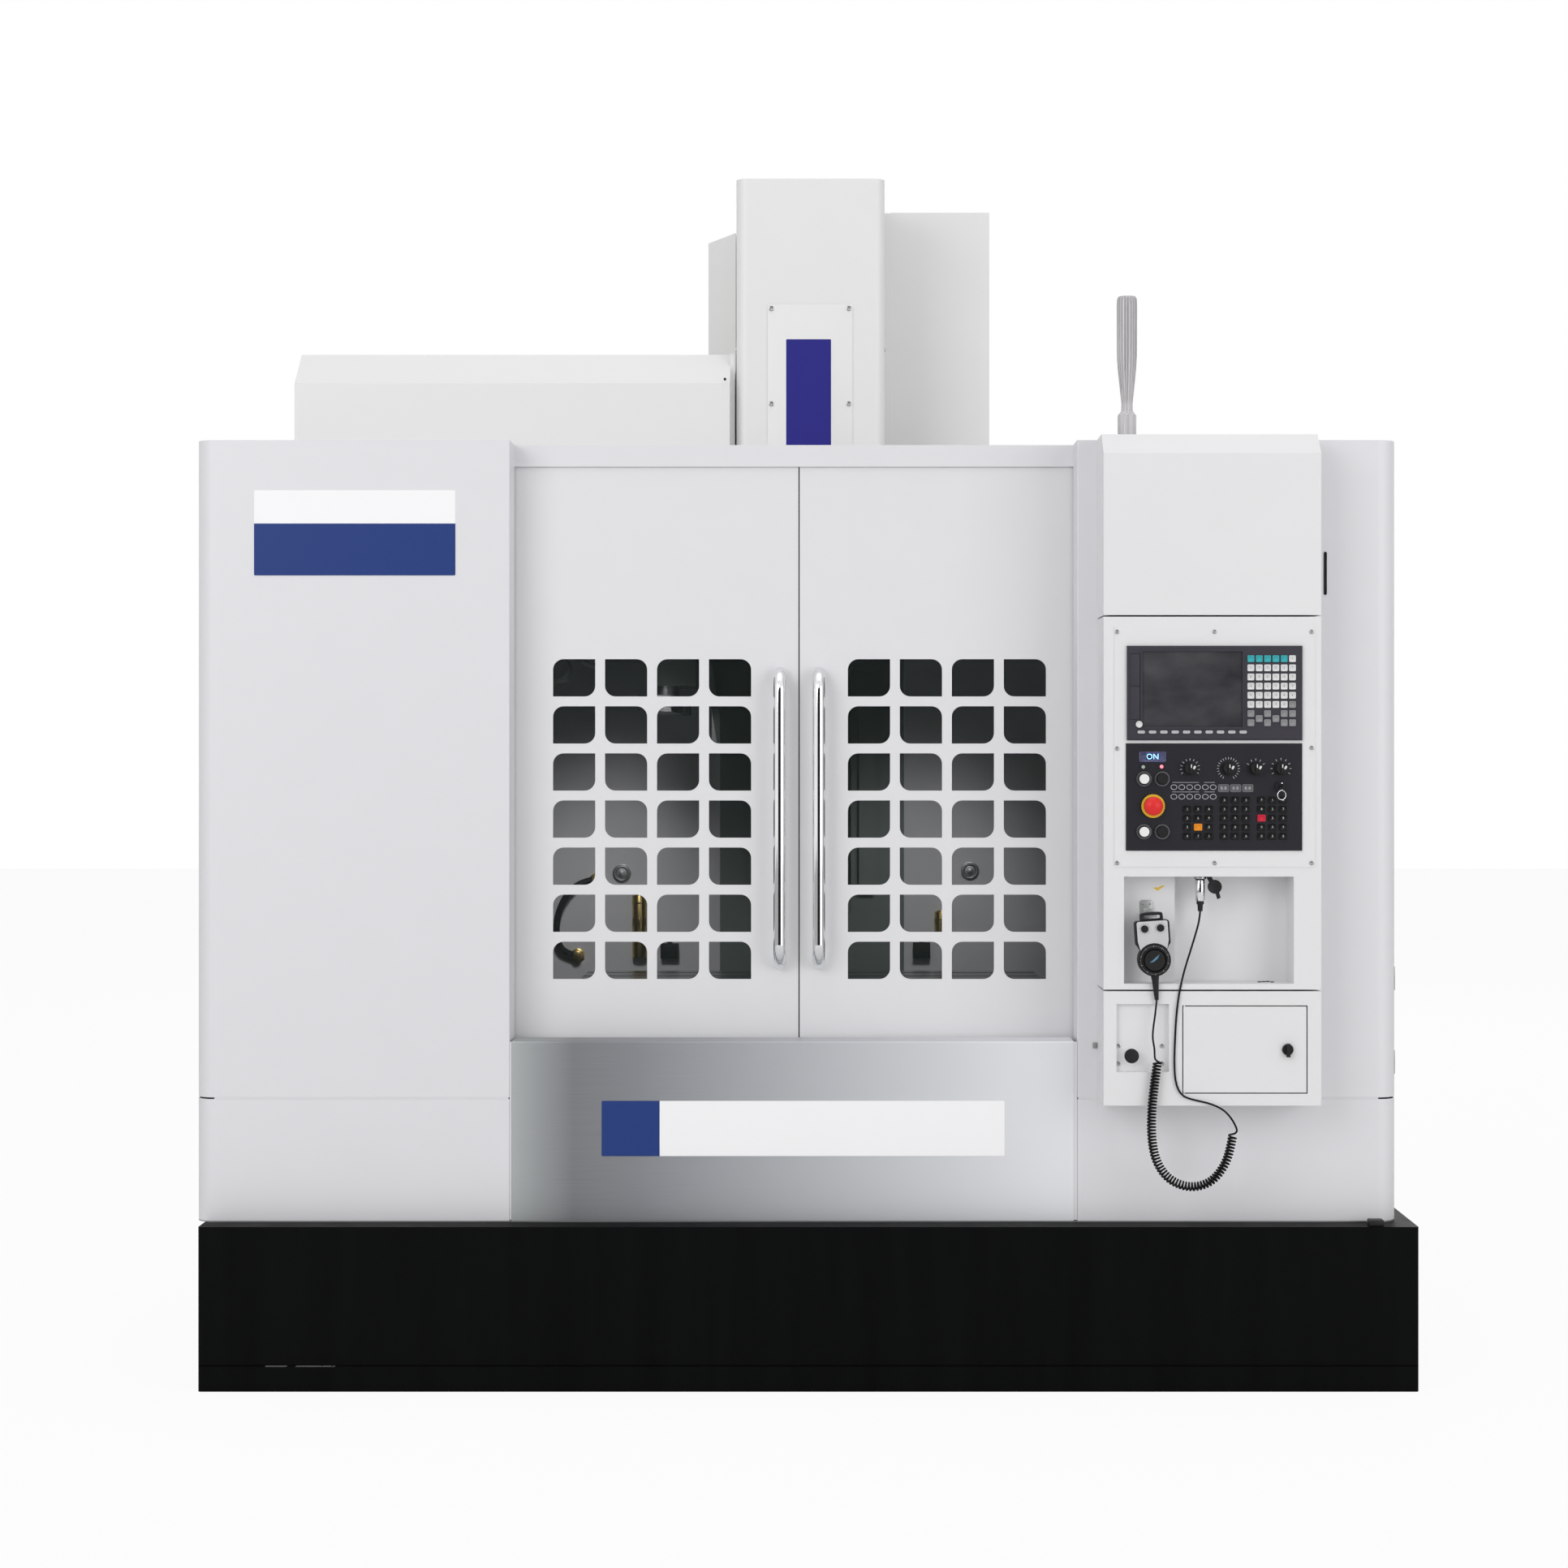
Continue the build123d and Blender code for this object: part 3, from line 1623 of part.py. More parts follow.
# Emergency stop: a mushroom head on a stem
head_rear = controls_face - bezel_rise - stop_press - 1
stop_rim = 6
dome_rise = head_rear - stop_rim - console_tip
dome_radius = ((stop_diameter / 2) ** 2 + dome_rise ** 2) / (2 * dome_rise)
with BuildPart() as e_stop_button:
    with BuildSketch(Plane.YZ.offset(stop_x)):
        with BuildLine():
            Polyline(
                (console_front + 6, stop_z),
                (console_front + 6, stop_z + stem_diameter / 2),
                (head_rear, stop_z + stem_diameter / 2),
                (head_rear, stop_z + stop_diameter / 2),
                (head_rear - stop_rim, stop_z + stop_diameter / 2),
            )
            RadiusArc(
                (head_rear - stop_rim, stop_z + stop_diameter / 2),
                (console_tip, stop_z),
                -dome_radius,
            )
            Line((console_tip, stop_z), (console_front + 6, stop_z))
        make_face()
    revolve(axis=Axis((stop_x, console_front, stop_z), (0, 1, 0)))
save(e_stop_button.part, "e_stop_button")

# Keys: the cursor keys in columns two and four are a single key set half a row down
with BuildPart() as keypad_keys:
    with BuildSketch(facing_front(display_face)):
        with Locations((display_keys_x, display_keys_z)):
            with GridLocations(key_pitch_across, key_pitch_down, key_columns, key_rows):
                Rectangle(key_size, key_size)
        for column in (-1.5, 0.5):
            cursor_x = display_keys_x + column * key_pitch_across
            for row in (2.5, 3.5):
                with Locations((cursor_x, display_keys_z - row * key_pitch_down)):
                    Rectangle(key_size, key_size, mode=Mode.SUBTRACT)
            with Locations((cursor_x, display_keys_z - 3 * key_pitch_down)):
                Rectangle(key_size, key_size)
        with Locations((soft_keys_x, soft_keys_z)):
            with GridLocations(soft_key_pitch, 1, 10, 1):
                Rectangle(soft_key_width, soft_key_height)
    extrude(amount=key_rise)
    with BuildSketch(facing_front(controls_face)):
        with Locations((switch_keys_x, switch_keys_z)):
            with GridLocations(switch_key_pitch_across, switch_key_pitch_down, 6, 2):
                Rectangle(switch_key_width, soft_key_height)
        with Locations((panel_keys_x, panel_keys_z)):
            with GridLocations(panel_key_pitch_across, panel_key_pitch_down, 3, 4):
                Rectangle(panel_key_width, panel_key_height)
        for step in (1, 2):
            with Locations((panel_keys_x + step * panel_keys_step, panel_keys_z + panel_keys_rise)):
                with GridLocations(panel_key_pitch_across, panel_key_pitch_down, 3, 5):
                    Rectangle(panel_key_width, panel_key_height)
    extrude(amount=key_rise)
save(keypad_keys.part, "keypad_keys")

# Lower console box with the socket's sunk plate and the storage compartment
storage_pivot = (storage_left + storage_gap + storage_pivot_in, console_front + storage_pivot_back)
with BuildPart() as lower_box:
    block(
        console_left,
        console_right,
        console_front,
        shell_front,
        console_bottom,
        console_seam - 2,
    )
    offset(amount=-console_sheet, openings=lower_box.faces().sort_by(Axis.Y)[-1])
    for left, right, bottom, top, depth in (
        (plate_recess_left, plate_recess_right, plate_recess_bottom, plate_recess_top, plate_recess_depth),
        (storage_left, storage_right, storage_bottom, storage_top, storage_depth),
    ):
        block(
            left - console_sheet,
            right + console_sheet,
            console_front,
            console_front + depth + console_sheet,
            bottom - console_sheet,
            top + console_sheet,
        )
        block(
            left,
            right,
            console_front - 1,
            console_front + depth,
            bottom,
            top,
            Mode.SUBTRACT,
        )
    with BuildSketch(facing_front(console_front + plate_recess_depth)):
        with Locations((blank_plug_x, blank_plug_z)):
            Circle(blank_plug_diameter / 2)
    extrude(amount=plate_recess_depth + blank_plug_rise, taper=4)
    with BuildSketch(Plane.XY.offset(storage_bottom - console_sheet)):
        with Locations(storage_pivot):
            Circle(storage_pin / 2 + running_gap)
    extrude(amount=storage_top - storage_bottom + console_sheet * 2, mode=Mode.SUBTRACT)
save(lower_box.part, "lower_box")

# Storage door hinged at its left edge, and its quarter-turn latch
leaf_thickness = 2
door_lip = 12
with BuildPart() as storage_door:
    left = storage_left + storage_gap
    right = storage_right - storage_gap
    bottom = storage_bottom + storage_gap
    top = storage_top - storage_gap
    block(left, right, console_front, console_front + door_lip, bottom, top)
    offset(amount=-leaf_thickness, openings=storage_door.faces().sort_by(Axis.Y)[-1])
    inside = console_front + leaf_thickness
    block(left - 1, left + 14, inside, console_front + door_lip + 1, bottom - 1, top + 1, Mode.SUBTRACT)
    for low, high, pin_low, pin_high in (
        (bottom, bottom + 12, storage_bottom - console_sheet, bottom),
        (top - 12, top, top, storage_top + console_sheet),
    ):
        knuckle = storage_pivot_in * 2
        block(left, left + knuckle, console_front, console_front + storage_pivot_back + 3, low, high)
        with BuildSketch(Plane.XY.offset(pin_low)):
            with Locations(storage_pivot):
                Circle(storage_pin / 2)
        extrude(amount=pin_high - pin_low)
    with BuildSketch(facing_front(console_front + door_lip)):
        with Locations((latch_x, latch_z)):
            Circle(knob_shaft / 2 + running_gap)
    extrude(amount=door_lip + 1, mode=Mode.SUBTRACT)
save(storage_door.part, "storage_door")

with BuildPart() as storage_latch:
    with BuildSketch(facing_front(console_front + 8)):
        with Locations((latch_x, latch_z)):
            Circle(knob_shaft / 2)
    extrude(amount=12)
    with BuildSketch(facing_front(console_front - 0.3)):
        with Locations((latch_x, latch_z)):
            Circle(latch_diameter / 2)
    extrude(amount=6, taper=8)
    block(latch_x - 4, latch_x + 4, console_front - 16, console_front - 4, latch_z - 16, latch_z + 14)
    block(latch_x - 5, latch_x + 26, console_front + 5, console_front + 8, latch_z - 5, latch_z + 5)
save(storage_latch.part, "storage_latch")

# Hand pendant: hangs by its bail on the bracket, a little askew
lean = math.radians(pendant_tilt)
pendant_front = pendant_y - pendant_depth / 2


def pendant_plane(y):
    """The pendant's own leaning plane at y; its origin is the middle of the body's top edge."""
    return Plane(
        origin=(pendant_x, y, pendant_top),
        x_dir=(math.cos(lean), 0, math.sin(lean)),
        z_dir=(0, -1, 0),
    )


shoulder = 50
waist_drop = 68
bail_width = 51
bail_height = 17
bail_wire = 5
dial_rise = 8
with BuildPart() as pendant_body:
    with BuildSketch(pendant_plane(pendant_front + pendant_depth)):
        with Locations((0, -shoulder / 2 - 4)):
            RectangleRounded(pendant_width, shoulder + 8, 7)
        with BuildLine():
            Polyline(
                (-pendant_width / 2, -shoulder),
                (pendant_width / 2, -shoulder),
                (pendant_waist / 2, -waist_drop),
                (-pendant_waist / 2, -waist_drop),
                close=True,
            )
        make_face()
        with Locations((0, -pendant_drop)):
            Circle(pendant_bowl / 2)
    extrude(amount=pendant_depth)
    with BuildSketch(pendant_plane(pendant_front)):
        with Locations((-18, -18), (18, -18)):
            RegularPolygon(8, 12)
    extrude(amount=7)
    with BuildSketch(pendant_plane(pendant_y + bail_wire / 2)):
        with Locations((0, bail_height / 2 - 1)):
            RectangleRounded(bail_width, bail_height + 2, 6)
            RectangleRounded(bail_width - bail_wire * 2, bail_height + 2 - bail_wire * 2, 3, mode=Mode.SUBTRACT)
    extrude(amount=bail_wire)
    relief_top = pendant_drop + pendant_bowl / 2 - 2
    axis_at = pendant_plane(pendant_y)
    with BuildSketch(axis_at):
        with BuildLine():
            Polyline(
                (0, -relief_top),
                (relief_top_diameter / 2, -relief_top),
                (relief_top_diameter / 2 - 2, -relief_top - 16),
                (relief_diameter / 2, -relief_top - relief_length - 2),
                (0, -relief_top - relief_length - 2),
                close=True,
            )
        make_face()
    revolve(axis=Axis((pendant_x, pendant_y, pendant_top), axis_at.y_dir))
save(pendant_body.part, "pendant_body")

with BuildPart() as pendant_dial_wheel:
    with BuildSketch(pendant_plane(pendant_front - 0.3)):
        with Locations((0, -pendant_drop)):
            Circle(pendant_dial / 2)
    extrude(amount=dial_rise - 0.3, taper=10)
    with BuildSketch(pendant_plane(pendant_front - dial_rise)):
        with Locations((-12, -pendant_drop + 12)):
            Circle(4.5)
    extrude(amount=1)
save(pendant_dial_wheel.part, "pendant_dial")

# Plug hanging from the socket in the recess's ceiling
socket_rise = 6
plug_bottom = plug_top - socket_rise - plug_length
cord_end_z = plug_bottom - plug_tail_length
with BuildPart() as pendant_plug:
    with BuildSketch(Plane.XZ.offset(-plug_y)):
        with BuildLine():
            Polyline(
                (plug_x, plug_top - socket_rise),
                (plug_x + plug_body_diameter / 2, plug_top - socket_rise),
                (plug_x + plug_body_diameter / 2, plug_top - socket_rise - 24),
                (plug_x + plug_body_diameter / 2 - 2, plug_top - socket_rise - 26),
                (plug_x + plug_body_diameter / 2 - 2, plug_bottom),
                (plug_x + plug_tail_diameter / 2, plug_bottom),
                (plug_x + plug_tail_diameter / 2 - 1, cord_end_z),
                (plug_x, cord_end_z),
                close=True,
            )
        make_face()
    revolve(axis=Axis((plug_x, plug_y, 0), (0, 0, 1)))
save(pendant_plug.part, "pendant_plug")


def cord_tube(points, diameter, name):
    """A round cord along straight runs joined by arcs as large as the runs allow."""
    radii = []
    for before, at, after in zip(points, points[1:], points[2:]):
        run_in = Vector(*at) - Vector(*before)
        run_out = Vector(*after) - Vector(*at)
        half_turn = math.radians(run_in.get_angle(run_out) / 2)
        radii.append(0.45 * min(run_in.length, run_out.length) / math.tan(half_turn))
    with BuildPart() as tube:
        with BuildLine():
            route = FilletPolyline(*points, radius=radii)
        with BuildSketch(Plane(origin=route @ 0, z_dir=route % 0)):
            Circle(diameter / 2)
        sweep()
    section = math.pi * diameter ** 2 / 4
    print(name, "radii", [round(radius, 1) for radius in radii])
    print(name, "length", round(route.length, 1), "volume ratio", round(tube.part.volume / section / route.length, 4))
    save(tube.part, name)


relief_end = pendant_plane(pendant_y).from_local_coords(Vector(0, -relief_top - relief_length - 2, 0))
hang_y = console_front - coil_diameter / 2 - 3
lay_y = console_front - wire_diameter
lead_points = [
    (relief_end.X, pendant_y, relief_end.Z),
    (797.5, -1277, 878),
    (792.5, -1278.5, 847),
    (790, -1280, 820),
    (794.5, -1281.5, 799),
    (803.4, hang_y, 780),
]
coil_points = [
    lead_points[-1],
    (794, hang_y, 716),
    (787.5, hang_y, 651),
    (787.8, hang_y, 590),
    (798, hang_y, 540),
    (826, hang_y, 500),
    (873, hang_y, 481),
    (921, hang_y, 492),
    (953, hang_y, 530),
    (967.5, hang_y, 574),
    (973.5, hang_y, 614),
]
tail_points = [
    coil_points[-1],
    (971, -1280, 636),
    (952, -1277, 658),
    (921, -1275, 672),
    (886, -1274, 679),
    (857, lay_y, 688),
    (843, lay_y, 716),
    (840, lay_y, 762),
    (842, lay_y, 818),
    (845, lay_y, 874),
    (852, lay_y, 926),
    (864, -1268, 974),
    (880, -1259, 1020),
    (894, -1247, 1060),
    (902, -1238, 1086),
    (plug_x, plug_y, cord_end_z),
]
cord_tube(lead_points, wire_diameter, "cord_lead")
cord_tube(coil_points, coil_diameter, "cord_coil")
cord_tube(tail_points, wire_diameter, "cord_tail")

# Signal tower on the console's top: a clear lens on a narrow neck
neck_radius = 13
with BuildPart() as tower_light:
    with BuildSketch(Plane.XZ.offset(-tower_y)):
        with BuildLine():
            Polyline(
                (tower_x, console_top),
                (tower_x + tower_base_diameter / 2, console_top),
                (tower_x + tower_base_diameter / 2, console_top + 46),
                (tower_x + neck_radius, console_top + 56),
                (tower_x + neck_radius, console_top + 72),
                (tower_x + tower_diameter / 2, console_top + 180),
                (tower_x + tower_diameter / 2, console_top + tower_height - 4),
                (tower_x + tower_diameter / 2 - 4, console_top + tower_height),
                (tower_x, console_top + tower_height),
                close=True,
            )
        make_face()
    revolve(axis=Axis((tower_x, tower_y, 0), (0, 0, 1)))
save(tower_light.part, "tower_light")
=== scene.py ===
import math

import bpy
from mathutils import Matrix, Vector


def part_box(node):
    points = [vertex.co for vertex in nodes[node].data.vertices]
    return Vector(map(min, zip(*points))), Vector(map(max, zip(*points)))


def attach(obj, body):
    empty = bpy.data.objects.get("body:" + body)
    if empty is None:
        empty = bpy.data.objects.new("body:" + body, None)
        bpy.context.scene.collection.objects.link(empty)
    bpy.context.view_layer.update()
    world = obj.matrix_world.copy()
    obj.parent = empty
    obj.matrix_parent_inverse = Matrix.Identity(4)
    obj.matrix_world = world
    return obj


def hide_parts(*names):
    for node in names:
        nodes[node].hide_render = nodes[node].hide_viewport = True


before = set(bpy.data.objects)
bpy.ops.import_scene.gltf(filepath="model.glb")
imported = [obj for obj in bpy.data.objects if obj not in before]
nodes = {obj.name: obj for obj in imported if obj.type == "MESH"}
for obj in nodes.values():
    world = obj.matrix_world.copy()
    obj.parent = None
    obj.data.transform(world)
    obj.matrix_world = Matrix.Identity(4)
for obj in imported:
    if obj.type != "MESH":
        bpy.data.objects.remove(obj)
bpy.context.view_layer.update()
print("frame loaded:", len(nodes), "nodes")


# ---- camera
view = {
    "place": (0.056, -7.69, 1.45),
    "lens": 65.06,
    "shift": (-0.028, -0.0155),
}

lens = bpy.data.cameras.new("camera")
lens.lens = view["lens"]
lens.sensor_width = 36
lens.shift_x, lens.shift_y = view["shift"]
lens.clip_end = 200
camera = bpy.data.objects.new("camera", lens)
camera.location = view["place"]
camera.rotation_euler = (math.pi / 2, 0, 0)
bpy.context.scene.collection.objects.link(camera)
bpy.context.scene.camera = camera
print("camera placed")


class Signal:
    # one socket of a material's tree, with arithmetic
    def __init__(self, tree, socket=None):
        self.tree = tree
        self.socket = socket

    def node(self, kind, settings=None, sockets=None, out=0):
        made = self.tree.nodes.new("ShaderNode" + kind)
        for name, value in (settings or {}).items():
            if name == "stops":
                first, *middle, last = value
                ends = made.color_ramp.elements
                ends[0].position, ends[1].position = first[0], last[0]
                ends[0].color, ends[1].color = (*first[1], 1), (*last[1], 1)
                for place, colour in middle:
                    ends.new(place).color = (*colour, 1)
            else:
                setattr(made, name, value)
        for name, value in (sockets or {}).items():
            self.feed(made.inputs[name], value)
        return Signal(self.tree, made.outputs[out])

    def feed(self, socket, value):
        if isinstance(value, Signal):
            self.tree.links.new(value.socket, socket)
        else:
            socket.default_value = value

    def math(self, operation, first, second=0.0):
        return self.node("Math", {"operation": operation}, {0: first, 1: second})

    def __add__(self, other):
        return self.math("ADD", self, other)

    def __radd__(self, other):
        return self.math("ADD", other, self)

    def __sub__(self, other):
        return self.math("SUBTRACT", self, other)

    def __rsub__(self, other):
        return self.math("SUBTRACT", other, self)

    def __mul__(self, other):
        return self.math("MULTIPLY", self, other)

    def __gt__(self, other):
        return self.math("GREATER_THAN", self, other)

    def __lt__(self, other):
        return self.math("LESS_THAN", self, other)

    def clamp(self):
        return self.node("Clamp", {}, {"Value": self})


class Finish:
    # a material under way: its tree, place on the piece and shader
    def __init__(self, name, colour, roughness, metallic=0.0):
        self.material = bpy.data.materials.new(name)
        self.material.use_nodes = True
        self.material.diffuse_color = (*colour, 1)
        tree = self.material.node_tree
        self.shader = tree.nodes["Principled BSDF"]
        self.tools = Signal(tree)
        self.place = self.tools.node("TexCoord", {}, {}, "Object")
        split = self.tools.node("SeparateXYZ", {}, {"Vector": self.place})
        self.x = split
        self.z = Signal(tree, split.socket.node.outputs[2])
        self.set("Base Color", (*colour, 1))
        self.set("Roughness", roughness)
        self.set("Metallic", metallic)

    def set(self, socket, value):
        self.tools.feed(self.shader.inputs[socket], value)

    def noise(self, scale, detail=3.0, rough=0.5, stretch=(1, 1, 1)):
        place = self.place
        if stretch != (1, 1, 1):
            place = self.tools.node("Mapping", {}, {"Vector": place, "Scale": stretch})
        values = {"Vector": place, "Scale": scale, "Detail": detail, "Roughness": rough}
        return self.tools.node("TexNoise", {}, values)

    def blend(self, factor, first, second):
        first, second = (part if isinstance(part, Signal) else (*part, 1) for part in (first, second))
        return self.tools.node("Mix", {"data_type": "RGBA"}, {0: factor, 6: first, 7: second}, 2)

    def ramp(self, value, stops):
        return self.tools.node("ValToRGB", {"stops": stops}, {"Fac": value})

    def bump(self, height, depth, strength=1.0):
        values = {"Height": height, "Distance": depth, "Strength": strength}
        self.set("Normal", self.tools.node("Bump", {}, values))

    def within(self, value, low, high):
        return (value > low) * (value < high)


def sheetEnamel(name, colour, shade):
    # satin enamel with a fine orange peel and a slow drift in shade
    coat = Finish(name, colour, 0.42)
    slow = coat.noise(1.1, 2.0)
    fine = coat.noise(9.0, 3.0)
    coat.set("Base Color", coat.blend(slow * 0.6 + fine * 0.4, colour, shade))
    coat.set("Roughness", 0.36 + fine * 0.14)
    coat.bump(coat.noise(700.0, 2.0), 0.00006, 0.5)
    return coat.material


def tankPaint():
    # deep black paint: faint runs down the sheet, dust low down, one long thin pale line
    coat = Finish("tankPaint", (0.006, 0.0065, 0.0065), 0.4)
    coat.set("Specular IOR Level", 0.05)
    runs = coat.noise(14.0, 4.0, 0.6, (1, 1, 0.08))
    dust = coat.noise(60.0, 5.0, 0.7)
    low = (0.30 - coat.z).clamp() * 0.5
    worn = (dust - 0.55).clamp() * low * 0.6
    base = coat.blend(runs, (0.0012, 0.0014, 0.0014), (0.0042, 0.0048, 0.0048))
    base = coat.blend(worn, base, (0.05, 0.05, 0.048))
    ragged = coat.noise(45.0, 2.0)
    pale_line = coat.within(coat.x, -1.235, -1.075) * coat.within(coat.z, 0.0575, 0.0592)
    base = coat.blend(pale_line * (ragged > 0.4) * 0.5, base, (0.35, 0.35, 0.34))
    coat.set("Base Color", base)
    coat.set("Roughness", 0.38 + runs * 0.2)
    coat.bump(coat.noise(380.0, 2.0) + runs * 0.3, 0.00008, 0.5)
    return coat.material


def castPaint():
    # thick machine paint over a rough casting
    coat = Finish("castPaint", (0.17, 0.2, 0.19), 0.5)
    grain = coat.noise(120.0, 4.0, 0.6)
    coat.set("Base Color", coat.blend(coat.noise(4.0), (0.15, 0.18, 0.17), (0.2, 0.23, 0.22)))
    coat.set("Roughness", 0.42 + grain * 0.2)
    coat.bump(grain, 0.0006, 0.4)
    return coat.material


def brushedSteel(name, colour, along, roughness):
    # fine lines that run along one axis
    coat = Finish(name, colour, roughness, 1.0)
    stretch = tuple(1.0 if axis == along else 160.0 for axis in "xyz")
    lines = coat.noise(5.0, 3.0, 0.6, stretch)
    dark = tuple(part * 0.82 for part in colour)
    coat.set("Base Color", coat.blend(lines, dark, colour))
    coat.set("Roughness", roughness - 0.08 + lines * 0.18)
    coat.bump(lines, 0.00003, 0.4)
    return coat.material


def apronSteel():
    # stainless apron: a painted reflection in the base colour runs from dark on the left to pale on the
    # right
    coat = Finish("apronSteel", (0.5, 0.51, 0.53), 0.4, 0.15)
    across = (coat.x + 0.678) * (1 / 1.304)
    lines = coat.noise(5.0, 3.0, 0.6, (1.0, 160.0, 160.0))
    # painted reflection: the base colour steps along X, dark near the left end and pale towards the right
    painted_reflection = coat.ramp(
        across,
        [
            (0.0, (0.40, 0.42, 0.42)),
            (0.045, (0.29, 0.305, 0.315)),
            (0.11, (0.160, 0.167, 0.180)),
            (0.22, (0.20, 0.212, 0.232)),
            (0.6, (0.50, 0.515, 0.545)),
            (1.0, (0.83, 0.84, 0.87)),
        ],
    )
    coat.set("Base Color", coat.blend(lines * 0.12, painted_reflection, (0.8, 0.8, 0.8)))
    coat.set("Roughness", 0.34 + lines * 0.16)
    coat.bump(lines, 0.00003, 0.4)
    return coat.material


def moulded(name, colour, roughness, grain=900.0):
    # moulded plastic with its fine spark texture
    coat = Finish(name, colour, roughness)
    coat.set("Specular IOR Level", 0.22)
    speck = coat.noise(grain, 2.0)
    pale = tuple(min(1.0, part * 1.14 + 0.004) for part in colour)
    coat.set("Base Color", coat.blend(coat.noise(30.0, 3.0) * speck, colour, pale))
    coat.set("Roughness", roughness - 0.06 + speck * 0.12)
    coat.bump(speck, 0.00005, 0.6)
    return coat.material


def chromePlate():
    # bright chrome with a faint cloud in its polish
    coat = Finish("chromePlate", (0.78, 0.79, 0.8), 0.08, 1.0)
    cloud = coat.noise(6.0, 3.0)
    coat.set("Base Color", coat.blend(cloud, (0.72, 0.73, 0.75), (0.84, 0.85, 0.86)))
    coat.set("Roughness", 0.025 + coat.noise(90.0, 4.0) * 0.04)
    coat.bump(coat.noise(12.0, 1.0), 0.00001, 0.1)
    return coat.material


def windowPane():
    # laminated pane, a little green and smoky
    coat = Finish("windowPane", (0.02, 0.026, 0.024), 0.06)
    coat.set("IOR", 1.52)
    wiped = coat.noise(3.0, 4.0, 0.6, (1, 1, 0.4))
    coat.set("Specular IOR Level", 0.34)
    coat.set("Alpha", 0.26 + wiped * 0.08)
    coat.set("Roughness", 0.03 + wiped * 0.06)
    coat.bump(coat.noise(6.0, 1.0), 0.0002, 0.25)
    return coat.material


def clearLens():
    # clear tower lens, greyed by its own thickness; darker vertical streaks in its colour are painted shade
    # for the grooves
    coat = Finish("towerLens", (0.60, 0.59, 0.60), 0.12)
    coat.set("IOR", 1.49)
    across = coat.noise(260.0, 1.0, 0.3, (1, 1, 0.02))
    # painted shade: darker vertical streaks stand for the grooves
    coat.set("Base Color", coat.blend(across, (0.42, 0.41, 0.43), (0.74, 0.72, 0.73)))
    coat.set("Alpha", 0.62 + across * 0.25)
    coat.set("Roughness", 0.08 + across * 0.12)
    return coat.material


def clearAcrylic():
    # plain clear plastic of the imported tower
    coat = Finish("clearAcrylic", (0.93, 0.94, 0.96), 0.08)
    coat.set("IOR", 1.49)
    faint = coat.noise(25.0, 3.0)
    coat.set("Alpha", 0.42 + faint * 0.1)
    coat.set("Roughness", 0.05 + faint * 0.08)
    coat.bump(faint, 0.0002, 0.3)
    return coat.material


def jacket():
    # matt black rubber of the cord
    coat = Finish("cordJacket", (0.012, 0.012, 0.012), 0.38)
    coat.set("Specular IOR Level", 0.16)
    skin = coat.noise(500.0, 2.0)
    coat.set("Base Color", coat.blend(skin, (0.003, 0.003, 0.003), (0.008, 0.008, 0.0085)))
    coat.set("Roughness", 0.36 + skin * 0.16)
    coat.bump(skin, 0.00005, 0.5)
    return coat.material


paint = {
    # the four white enamels are one paint in lighter and darker copies: painted light and shade between the
    # surfaces
    "panel": sheetEnamel("panelEnamel", (0.72, 0.72, 0.745), (0.745, 0.745, 0.77)),
    "door": sheetEnamel("doorEnamel", (0.735, 0.735, 0.75), (0.76, 0.76, 0.775)),
    "hood": sheetEnamel("hoodEnamel", (0.755, 0.755, 0.75), (0.785, 0.785, 0.78)),
    "console": sheetEnamel("consoleEnamel", (0.75, 0.75, 0.76), (0.78, 0.78, 0.79)),
    "tank": tankPaint(),
    "cast": castPaint(),
    "zinc": brushedSteel("zincSheet", (0.40, 0.41, 0.41), "x", 0.42),
    "ground": brushedSteel("groundSteel", (0.6, 0.61, 0.62), "x", 0.24),
    "screw": brushedSteel("screwSteel", (0.46, 0.46, 0.46), "z", 0.22),
    "brass": brushedSteel("brass", (0.75, 0.56, 0.22), "z", 0.28),
    "apron": apronSteel(),
    "chrome": chromePlate(),
    "pane": windowPane(),
    "lens": clearLens(),
    "acrylic": clearAcrylic(),
    "jacket": jacket(),
    "black": moulded("blackPlastic", (0.014, 0.014, 0.015), 0.42),
    "bezel": moulded("bezelPlastic", (0.040, 0.038, 0.048), 0.5),
    "film": moulded("panelFilm", (0.017, 0.017, 0.022), 0.42),
    "red": moulded("redPlastic", (0.72, 0.028, 0.028), 0.3),
    "yellow": moulded("yellowPlastic", (0.80, 0.47, 0.03), 0.35),
    "white": moulded("whitePlastic", (0.80, 0.80, 0.79), 0.32),
}

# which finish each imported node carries
finishOf = {
    "panel": "left_front_panel right_front_panel shell_panels roof_panel door_rails",
    "door": "left_door right_door",
    "hood": "head_cover magazine_cover column_side_covers",
    "console": "upper_box_cover panel_housing lower_box storage_door electrical_cabinet cabinet_door",
    "tank": "coolant_tank",
    "cast": "bed column saddle spindle_head changer_frame",
    "zinc": "chip_pan levelling_feet arm_sleeve",
    "ground": "work_table spindle_shaft x_screw y_screw z_screw exchange_arm tool_magazine",
    "apron": "apron",
    "chrome": "left_door_handle right_door_handle program_key",
    "pane": "left_door_glass right_door_glass",
    "acrylic": "tower_light",
    "black": "spindle_motor pendant_body pendant_dial pendant_plug storage_latch feed_hold_button "
    "power_off_button feed_override_knob spindle_override_knob rapid_override_knob mode_knob "
    "change_pot",
    "bezel": "display_unit",
    "film": "operator_panel",
    "red": "e_stop_button",
    "white": "feed_start_button power_on_button keypad_keys",
    "jacket": "cord_lead cord_coil cord_tail",
}
for finish, names in finishOf.items():
    for name in names.split():
        mesh = nodes[name].data
        mesh.materials.clear()
        mesh.materials.append(paint[finish])
print("finishes given")


